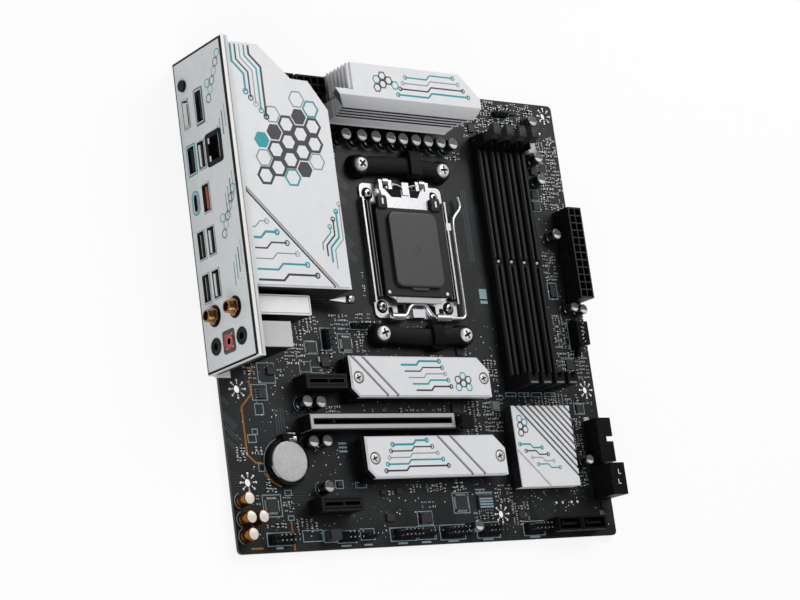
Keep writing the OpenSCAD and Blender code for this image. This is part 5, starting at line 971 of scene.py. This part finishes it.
# Painted shadow: dark lines under each step's edge and a dark strip on the trunk's front
fronts = [(221.54, 23.2)] + [(y, z - 2.0) for y, z in STEPS]
gap_shadows = [ribbon([(79.0, y - 0.1), (161.4 - 2.0 * i, y - 0.1)], 0.8, z, 0.04)
        for i, (y, z) in enumerate(fronts)]
put("upper_sink_gap_shadows", [*gap_shadows, block((81, 226.9, 10), (158, 227.04, 24.3))], DARK_INK)
# Painted shade: a grey slab over the end face of the lip
lip_end = np.column_stack([lip_x, lip_y, crown[:, 1]])
lip_end = lip_end.mean(0) + 0.84 * (lip_end - lip_end.mean(0))
skin = np.array([0.05, 0.04, 0.02])
put("upper_sink_end_shade", loft([lip_end - skin, lip_end + skin]), FERRITE)
put("upper_sink", [top, trunk, *steps, foot, *fins], WHITE_PAINT, stands_for="vrm_heatsink_upper")
# Painted shade: a grey sheet on the block's face behind the fins
put("upper_sink_back_shade", block((81.2, 229.6, 10), (81.32, 243.2, 29.3)), SHADE)

# Ear of the left heatsink: its bright milled tip and screw
ear = polygon([(64.6, 123.4), (76.5, 122.2), (81.3, 122.2), (82.3, 125), (81, 128), (66, 127)])
put("ear_plate", stack(ear, [(0, 9.0), (0, 9.6), (0.2, 9.8)]), ANODISED)
put("ear_tip", prism([(65.8, 123.7), (75.6, 122.8), (76.2, 126.2)], 9.7, 9.86), LID)
put("ear_screw", placed(screw(2.1, 1.2, 9.75, 1.0, 8.0, cross, 0.6), (79.3, 124.6)), NICKEL)

# Chips as (x0, y0, x1, y1, height): those of the frame, then those it leaves out
CHIPS = [(18.9, 19.5, 25.1, 25.7, 1.2), (135.2, 17.0, 142.4, 24.2, 1.2), (110.7, 11.0, 117.7, 16.2, 1.6),
         (76, 100.4, 81.6, 106.5, 1.0), (61.5, 91.34, 66.5, 96.34, 1.0), (141.0, 57.84, 147.0, 63.84, 1.0),
         (141.0, 67.34, 147.0, 72.34, 1.0), (149.6, 16.9, 159.6, 23.9, 1.4),
         (165.0, 44.84, 171.0, 50.84, 1.0), (89.5, 12.6, 94.5, 16.6, 1.0),
         (225.5, 91.34, 230.5, 96.34, 1.0), (185.6, 38.44, 204.6, 57.44, 1.6)]
CHIPS += [(38.4, 140.44 + 8.6 * i, 43.8, 146.64 + 8.6 * i, 0.9) for i in range(6)]
CHIPS += [(101.6 + 7.4 * i, 237.44, 107 + 7.4 * i, 242.84, 0.9) for i in range(6)]
MORE_CHIPS = [
    (21.3, 75.3, 25.8, 80.3, 1.3), (53.7, 98.7, 59.6, 103.7, 1.0), (228, 67.4, 233, 71.6, 1.0),
    (149.5, 98.5, 153.5, 102.5, 0.9), (227.5, 203.7, 232.5, 208.5, 1.0), (220.6, 201.8, 224, 205.3, 1.6),
    (28.2, 87.1, 32.8, 90.8, 1.2), (219.3, 188, 224, 192.6, 0.8), (219.3, 181.5, 224, 186.2, 0.8),
    (222, 132, 226.6, 139, 0.9), (88, 26.2, 91, 28.6, 1.0), (98, 26.2, 101, 29.2, 1.0),
    (50.8, 4.2, 57, 9.2, 6.0), (212, 236, 216, 240, 1.0), (180, 223.6, 184, 228, 1.0),
    (176, 11, 180, 15, 1.0), (62, 31, 65, 33.4, 0.8), (235.6, 14.4, 240.4, 19, 0.9)]
for x0, y0, x1, y1, _ in MORE_CHIPS:
    claim((x0 + x1) / 2, (y0 + y1) / 2, x1 - x0, y1 - y0)


def on_board(rows, bevel):
    """Bevelled boxes that stand on the board, from rows of (x0, y0, x1, y1, height)."""
    return [block((x0, y0, TOP), (x1, y1, TOP + h), bevel) for x0, y0, x1, y1, h in rows]


put("chips", on_board(CHIPS + MORE_CHIPS, 0.12), EPOXY, stands_for="board_chips")
put("pale_blocks", on_board([(219.0, 213.5, 224.2, 219.2, 4.0), (232.0, 61, 235.4, 64.6, 1.4),
                             (59.8, 93.8, 61.0, 96.4, 0.9)], 0.25), PALE_CHIP)
put("grey_block", on_board([(168.2, 68.9, 173, 73.5, 1.7)], 0.3), FERRITE)
angle = [block((-0.9, -1.4, 17.15), (0.9, -1.0, 17.26)), block((-0.9, -1.2, 17.15), (-0.5, 1.4, 17.26))]
# Painted highlight on the edges of the drive ports
put("drive_port_edge_highlights", placed(join(angle), [(238.1, 31.9), (237.3, 26.6)]), PAINTED_HIGHLIGHT)
put("test_dots", placed(lathe([(0.75, TOP), (0.7, TOP + 0.1), (0.4, TOP + 0.25)], 12),
                        [(204, 18.7), (208.5, 18.7), (214.8, 18.8), (219, 18.8), (232.5, 226.7)]), LID)

# Gull-wing leads, by chip: its middle, its sides, the pitch and which sides have leads, in quarter turns
LEADS = [(22, 22.6, 6.2, 6.2, 0.5, (0, 1, 2, 3)), (138.8, 20.6, 7.2, 7.2, 0.5, (0, 1, 2, 3)),
         (114.2, 13.6, 7, 5.2, 1.27, (0, 2)), (78.8, 103.45, 5.6, 6.1, 0.5, (0, 1, 2, 3)),
         (154.6, 20.4, 10, 7, 1.27, (0, 2)), (23.55, 77.8, 4.5, 5, 1.27, (1, 3)),
         (56.65, 101.2, 5.9, 5, 0.9, (0, 1, 2, 3)), (230.5, 69.5, 5, 4.2, 0.9, (0, 2)),
         (230, 206.1, 5, 4.8, 0.9, (0, 1, 2, 3)), (66.4, 105.5, 2.7, 10.2, 1.6, (3,))]
wing = sweep([(0, -0.3, 0.62), (0, 0.3, 0.62), (0, 0.55, 0.1), (0, 1.0, 0.1)],
             corners(-0.07, -0.13, 0.07, 0.13), up=(1, 0, 0))
leads, turns = [], []
for x, y, w, d, pitch, quarters in LEADS:
    for quarter in quarters:
        along, out = (d, w / 2) if quarter % 2 else (w, d / 2)
        turn = quarter * np.pi / 2
        c, s = np.cos(turn), np.sin(turn)
        t = np.arange(-(along / 2 - 0.6), along / 2 - 0.5, pitch)
        leads.append(np.column_stack([x + t * c - out * s, y + t * s + out * c, np.full(len(t), TOP)]))
        turns += [turn] * len(t)
put("chip_leads", placed(wing, np.vstack(leads), turns), TIN)

# Painted highlight on the lit edges round the 24 cells of the main power housing: long lines, and short ones
# between them
edges = [block((x - w, 128.9, 14.35), (x + w, 180.4, 14.44), 0.03)
         for x, w in ((233.29, 0.4), (237.64, 0.3), (241.99, 0.4))]
bars = placed(block((-1.8, -0.3, 14.35), (1.8, 0.3, 14.43), 0.03),
              grid((235.54, 239.74), 129.44 + 4.2 * np.arange(13)))
put("power_grid_highlights", [*edges, bars], GREY_NYLON)

# Box header at the power edge, round a row of pins: a moulded box with a keyed rim and bright contacts
put("edge_header", [block((231.9, 104.1, TOP), (239.9, 117.1, 7.9), 0.25),
                    block((236.6, 104.1, 7.7), (239.9, 117.1, 8.6), 0.2),
                    block((231.9, 104.1, 7.7), (233.0, 117.1, 8.6), 0.2)], BLACK_NYLON)
put("edge_contacts", placed(block((-0.3, -0.35, 7.8), (0.3, 0.35, 9.0), 0.1),
                            [(235.2, 105.4 + 2.04 * k) for k in range(6)]), LID)

# Legend frames and blocks, as (x0, y0, x1, y1), and arcs round the cans and the coin cell
FRAMES = [
    (18.2, 74.5, 27.1, 82.2), (19, 67.2, 23.8, 72.7), (15.8, 57.7, 18.8, 60.2), (12.9, 53.7, 17.5, 57.4),
    (17.1, 39.5, 20.4, 43.2), (23, 83, 33, 93), (17, 17.3, 27.6, 27.9), (30.4, 27.4, 34.2, 29.9),
    (30.7, 15.3, 34, 17.4), (17.1, 3.2, 30.8, 9.5), (48.3, 88.7, 55, 94), (55.4, 88.3, 61.7, 91.2),
    (73.3, 30, 80, 32.6), (61.2, 30, 65.8, 34), (109.4, 10, 118.9, 17), (38, 4.5, 49.6, 10),
    (50.4, 3.7, 57.5, 9.6), (58.3, 3, 69.6, 9), (72.5, 4, 81, 9.5), (90.8, 2.6, 107, 9.3),
    (108, 2.8, 119.6, 9.5), (122.5, 2, 138.8, 9.5), (146.7, 2, 162, 10), (178.3, 2, 192.8, 9.5),
    (133.6, 15.4, 144, 25.8), (227, 66.6, 234, 72.4), (223.3, 91, 230.6, 97.4), (218.8, 187.5, 224.6, 193),
    (218.8, 181, 224.6, 186.7), (221, 131, 227.5, 140), (53, 98, 60.4, 104.4), (74, 99, 82, 108.6),
    (179.6, 76.4, 186.7, 78.4), (188.7, 76.4, 195.8, 78.4), (197.9, 76.4, 205, 78.4),
    (207, 76.4, 214.1, 78.4), (168, 68.7, 173.3, 73.7), (231, 101.6, 241.6, 119.6),
    (198.6, 233.4, 209.6, 237.6), (82.6, 111, 93.6, 114.8), (63.6, 100, 69.4, 111.4)]
BLOCKS = [(21.7, 1.6, 25.8, 2.6), (66, 48, 71, 49), (66, 50, 71, 51), (66, 52, 71, 53), (95, 1, 101, 1.9),
          (110, 1, 116, 1.9), (127, 0.8, 134, 1.6), (150, 0.8, 157, 1.6), (182, 0.8, 189, 1.6),
          (149.2, 25, 160.4, 25.9), (149.2, 26.8, 156, 27.5), (171.4, 127, 176.4, 128.6),
          (171.4, 129.6, 176.4, 135), (60, 1.2, 66, 2), (74, 1.2, 79, 2),
          *[(234.2 + 0.9 * k, 10.4, 234.7 + 0.9 * k, 13.6) for k in range(3)]]
arcs = [circle(r, 40)[0][12:29] + p for p, r in
        [(p, 3.7) for p in CANS[2][2][:5]] + [(COIN, 12.4)] + [(p, 3.9) for p in AUDIO_CANS]]
arcs += [circle(4.7, 40)[0][22:33] + p for p in CANS[0][2]]
put("legend_ink", [ribbon(corners(*f), 0.38, TOP, closed=True) for f in FRAMES]
    + [ribbon(a, 0.3, TOP) for a in arcs] + on_board([(*b, INK) for b in BLOCKS], 0)
    + [block((150.2, y, 3.0), (159.0, y + 0.8, 3.0 + INK)) for y in (17.5, 18.9, 20.3, 21.7)], LEGEND)

# Small parts in clusters, as (x0, y0, x1, y1, parts along X, parts along Y, length, turned)
CLUSTERS = [
    (4.6, 44.5, 10.4, 51.6, 4, 3, 1.6, 1), (14.2, 47.8, 20, 51.2, 4, 2, 1.2, 1),
    (33, 84.5, 38.7, 90, 4, 4, 1.2, 0), (13.6, 22.6, 16.6, 30.2, 2, 5, 1.2, 0),
    (19.6, 29.4, 27, 35.6, 5, 4, 1.2, 1), (29, 19, 33, 27.2, 3, 6, 1.2, 0),
    (17, 11.6, 29, 14, 8, 1, 1.2, 1), (34, 9, 48, 16, 5, 3, 1.2, 1), (84.6, 99, 90.4, 109, 4, 7, 1.2, 0),
    (60, 84, 70, 90, 5, 4, 1.2, 1), (40, 92, 52, 107, 6, 8, 1.2, 0), (40, 108, 62, 118, 9, 5, 1.2, 1),
    (70, 110, 82, 119, 5, 4, 1.2, 0), (62, 96, 72, 100, 4, 2, 1.2, 1), (60, 58, 70, 72, 4, 6, 1.2, 0),
    (134.4, 26.4, 143, 31, 5, 2, 1.6, 1), (146, 11.6, 170, 16, 9, 2, 1.2, 1),
    (162, 16, 174, 30, 5, 7, 1.2, 0), (171.6, 8, 184, 20, 6, 6, 1.2, 1), (217, 27, 229, 38, 5, 5, 1.2, 0),
    (217, 44, 230, 65, 5, 9, 1.2, 1), (191, 71, 220, 78, 12, 3, 1.2, 1),
    (220.6, 71.6, 241, 78, 8, 3, 1.2, 0), (220, 82, 242, 101, 9, 9, 1.2, 0),
    (219.6, 103, 230.6, 122, 5, 10, 1.2, 1), (219.6, 141, 229.4, 158, 4, 9, 1.2, 0),
    (226.8, 182, 242.6, 226, 7, 20, 1.5, 0), (225, 186, 232, 202, 3, 8, 1.2, 1),
    (190, 222, 229, 243, 20, 12, 1.4, 1), (175.6, 220.6, 198, 233, 11, 9, 1.3, 0),
    (168, 226, 192, 243, 12, 10, 1.3, 1), (162, 57, 177, 80, 6, 11, 1.2, 0),
    (140, 56, 160, 74, 7, 8, 1.2, 1), (132, 97, 140, 105, 4, 5, 1.2, 0), (84, 108, 96, 120, 5, 6, 1.2, 0),
    (166, 84, 176, 96, 4, 5, 1.2, 1), (66, 196, 88, 208, 6, 4, 1.2, 1), (160, 206, 172, 212, 4, 2, 1.2, 0),
    (64, 214, 84, 224, 8, 4, 1.2, 1), (14, 84, 22, 92, 3, 3, 1.2, 0), (110, 57, 138, 60, 10, 1, 1.2, 1),
    (88, 64, 138, 71, 14, 2, 1.2, 0), (87.6, 26, 101, 29.6, 6, 2, 1.2, 1),
    (106, 26.6, 130, 31, 11, 2, 1.2, 1), (112, 18, 122, 22.6, 4, 2, 1.0, 0),
    (92.6, 128, 96.4, 142, 1, 8, 1.0, 0)]
WIDTH = 0.55  # of a part, as a share of its length
FILLED = 0.86  # share of places that have a part
CERAMICS = 0.3  # share of parts that are ceramic
CROSSWISE = 0.2  # share of parts that lie across the others
ASTRAY = 0.25  # how far a part is off its place at most
parts = []
for x0, y0, x1, y1, nx, ny, size, turned in CLUSTERS:
    places = grid((np.arange(nx) + 0.5) / nx * (x1 - x0) + x0, (np.arange(ny) + 0.5) / ny * (y1 - y0) + y0)
    for x, y in places + rng.uniform(-ASTRAY, ASTRAY, (nx * ny, 2)):
        length, other = size * rng.choice([1.0, 1.0, 1.5]), rng.random() < CROSSWISE
        turn = turned != other
        footprint = (WIDTH * length, length) if turn else (length, WIDTH * length)
        if rng.random() < FILLED and claim(x, y, *footprint):
            parts.append((x, y, np.pi / 2 * turn, length, rng.random()))
parts = np.array(parts)
ends = join([block((-0.5, -0.26, 0), (-0.27, 0.26, 0.4)), block((0.27, -0.26, 0), (0.5, 0.26, 0.4)),
             block((-0.62, -0.3, 0), (-0.4, 0.3, 0.06)), block((0.4, -0.3, 0), (0.62, 0.3, 0.06))])
core = block((-0.28, -0.25, 0.03), (0.28, 0.25, 0.385))
ceramic = parts[:, 4] < CERAMICS
for name, shape, finish, some in (("part_ends", ends, TIN, parts),
                                  ("ceramic_cores", core, CERAMIC, parts[ceramic]),
                                  ("resistor_cores", core, RESISTOR, parts[~ceramic])):
    put(name, placed(shape, at_height(some[:, :2], TOP), some[:, 2], some[:, 3:4]), finish)

# Vias and test points, outside the quarter of the socket and the memory slots
VIAS, TRIES = 420, 2600
QUARTER_X, QUARTER_Y = 217, 118
dots = rng.uniform((4, 4), (240, 240), (TRIES, 2))
dots = [p for p in dots if (p[1] < QUARTER_Y or p[0] > QUARTER_X) and claim(*p, 0.5, 0.5, 0.1)][:VIAS]
put("via_rings", placed(lathe([(0.28, 0), (0.28, 0.03), (0.2, 0.05)], 8), at_height(dots, TOP),
                        sizes=rng.choice([0.6, 0.8, 1.3], (len(dots), 1))), TIN)

# Soldered pins under the board: headers as (x, y, pins along X, pins along Y), then slots, ports and cans
HEADERS = [(25, 6, 5, 2), (64, 6, 4, 2), (77, 6, 3, 1), (100, 6, 5, 2), (114, 6, 4, 1), (130.6, 6, 5, 2),
           (154.8, 6, 5, 2), (186, 6, 5, 2), (66.4, 105.44, 1, 4), (234.84, 114.24, 1, 4),
           (234.84, 102.84, 1, 3), (204, 235.44, 4, 1), (88, 112.84, 4, 1)]
PITCH = 2.54
pins = [grid(x + PITCH * (np.arange(nx) - (nx - 1) / 2), y + PITCH * (np.arange(ny) - (ny - 1) / 2))
        for x, y, nx, ny in HEADERS]
pins += [grid([x + s], np.arange(84, 210, 1.7) + 0.4 * s) for x in DIMM_X for s in (-1.5, 1.5)]
pins += [grid(np.arange(x0, x1, 2.0) + 0.5 * s, [y + 1.6 * s])
         for x0, x1, y in ((48, 130, LONG_SLOT_Y), *((45, 66, y) for y in SHORT_SLOTS_Y)) for s in BOTH]
pins += [grid((2.5, 5.0, 8.0), y + np.array((-4.5, -2, 0.5, 3))) for y in (LAN, ROUND, FLAT_1, FLAT_2, VIDEO)]
pins += [np.array(places) + [s, 0] for _, _, places in CANS for s in (-1.4, 1.4)]
put("solder_joints", placed(flipped(lathe([(0.8, 0), (0.72, 0.2), (0.45, 0.5), (0.3, 0.95)], 8)),
                            np.vstack(pins)), TIN)

# Camera at the photograph's angle: a 96.8 mm lens, from the rear port side, above the header edge
SIDEWAYS = Vector((0.79099, -0.132542, 0.5973))
DOWN = Vector((0.028033, -0.967377, -0.251786))
AHEAD = Vector((0.611186, 0.215905, -0.76147))
STAND = (-0.680151, -0.235336, 0.85039)
lens = bpy.data.cameras.new("camera")
lens.sensor_width = 36
lens.lens = 96.811
lens.clip_end = 10
camera = bpy.data.objects.new("camera", lens)
camera.matrix_world = Matrix.Translation(STAND) @ Matrix((SIDEWAYS, -DOWN, -AHEAD)).transposed().to_4x4()
bpy.context.scene.collection.objects.link(camera)
bpy.context.scene.camera = camera

# Studio, lamps as name, place, side and power: a wide soft key high behind the board, a faint card that the
# metals mirror and a lamp on the ports' side, in a dim pale room
LAMPS = [("key", (0.45, 0.8, 0.95), 0.75, 9.0), ("card", (0.79, 0.6, 0.99), 1.0, 2.1),
         ("ports", (-0.8, -0.78, 0.5), 0.8, 7.6)]
for name, place, size, power in LAMPS:
    lamp = bpy.data.lights.new(name, "AREA")
    lamp.size = size
    lamp.energy = power
    light = bpy.data.objects.new(name, lamp)
    light.location = place
    light.rotation_euler = (-Vector(place)).to_track_quat("-Z", "Y").to_euler()
    bpy.context.scene.collection.objects.link(light)
AMBIENT, MIRRORED = 0.38, 0.15  # how bright the room is on matt and on glossy surfaces
world = bpy.data.worlds.new("studio")
bpy.context.scene.world = world
world.use_nodes = True
room = world.node_tree
seen = add(room, "ShaderNodeLightPath").outputs
direct = add(room, "ShaderNodeMath", {0: seen["Is Camera Ray"], 1: seen["Is Transmission Ray"]},
             operation="MAXIMUM")
dim = add(room, "ShaderNodeMapRange", {"Value": seen["Is Glossy Ray"], "To Min": AMBIENT, "To Max": MIRRORED})
bright = add(room, "ShaderNodeMapRange", {"Value": direct.outputs["Value"], "To Min": dim.outputs["Result"],
                                          "To Max": 1.0})
room.links.new(bright.outputs["Result"], room.nodes["Background"].inputs["Strength"])
room.nodes["Background"].inputs["Color"].default_value = (1, 1, 1, 1)

# Pale floor: most of what the camera and the metals see of it is plain white, and the rest keeps the shadow
HALF = 4.0
WHITE_SHARE = 0.85
ground = bpy.data.meshes.new("floor")
ground.from_pydata([(x, y, 0) for x, y in corners(-HALF, -HALF, HALF, HALF)], [], [(0, 1, 2, 3)])
floor = bpy.data.objects.new("floor", ground)
bpy.context.scene.collection.objects.link(floor)
sheet = bpy.data.materials.new("pale_floor")
sheet.use_nodes = True
tree = sheet.node_tree
tree.nodes.remove(tree.nodes["Principled BSDF"])
seen = add(tree, "ShaderNodeLightPath").outputs
direct = add(tree, "ShaderNodeMath", {0: seen["Is Camera Ray"], 1: seen["Is Glossy Ray"]},
             operation="MAXIMUM")
share = add(tree, "ShaderNodeMath", {0: direct.outputs["Value"], 1: WHITE_SHARE}, operation="MULTIPLY")
matt = add(tree, "ShaderNodeBsdfDiffuse", {"Color": (0.9, 0.9, 0.9, 1)})
glow = add(tree, "ShaderNodeEmission", {"Color": (1, 1, 1, 1), "Strength": 1.0})
blend = add(tree, "ShaderNodeMixShader", {0: share.outputs["Value"], 1: matt.outputs["BSDF"],
                                          2: glow.outputs["Emission"]})
tree.links.new(blend.outputs["Shader"], tree.nodes["Material Output"].inputs["Surface"])
ground.materials.append(sheet)
bpy.context.scene.view_settings.view_transform = "Standard"
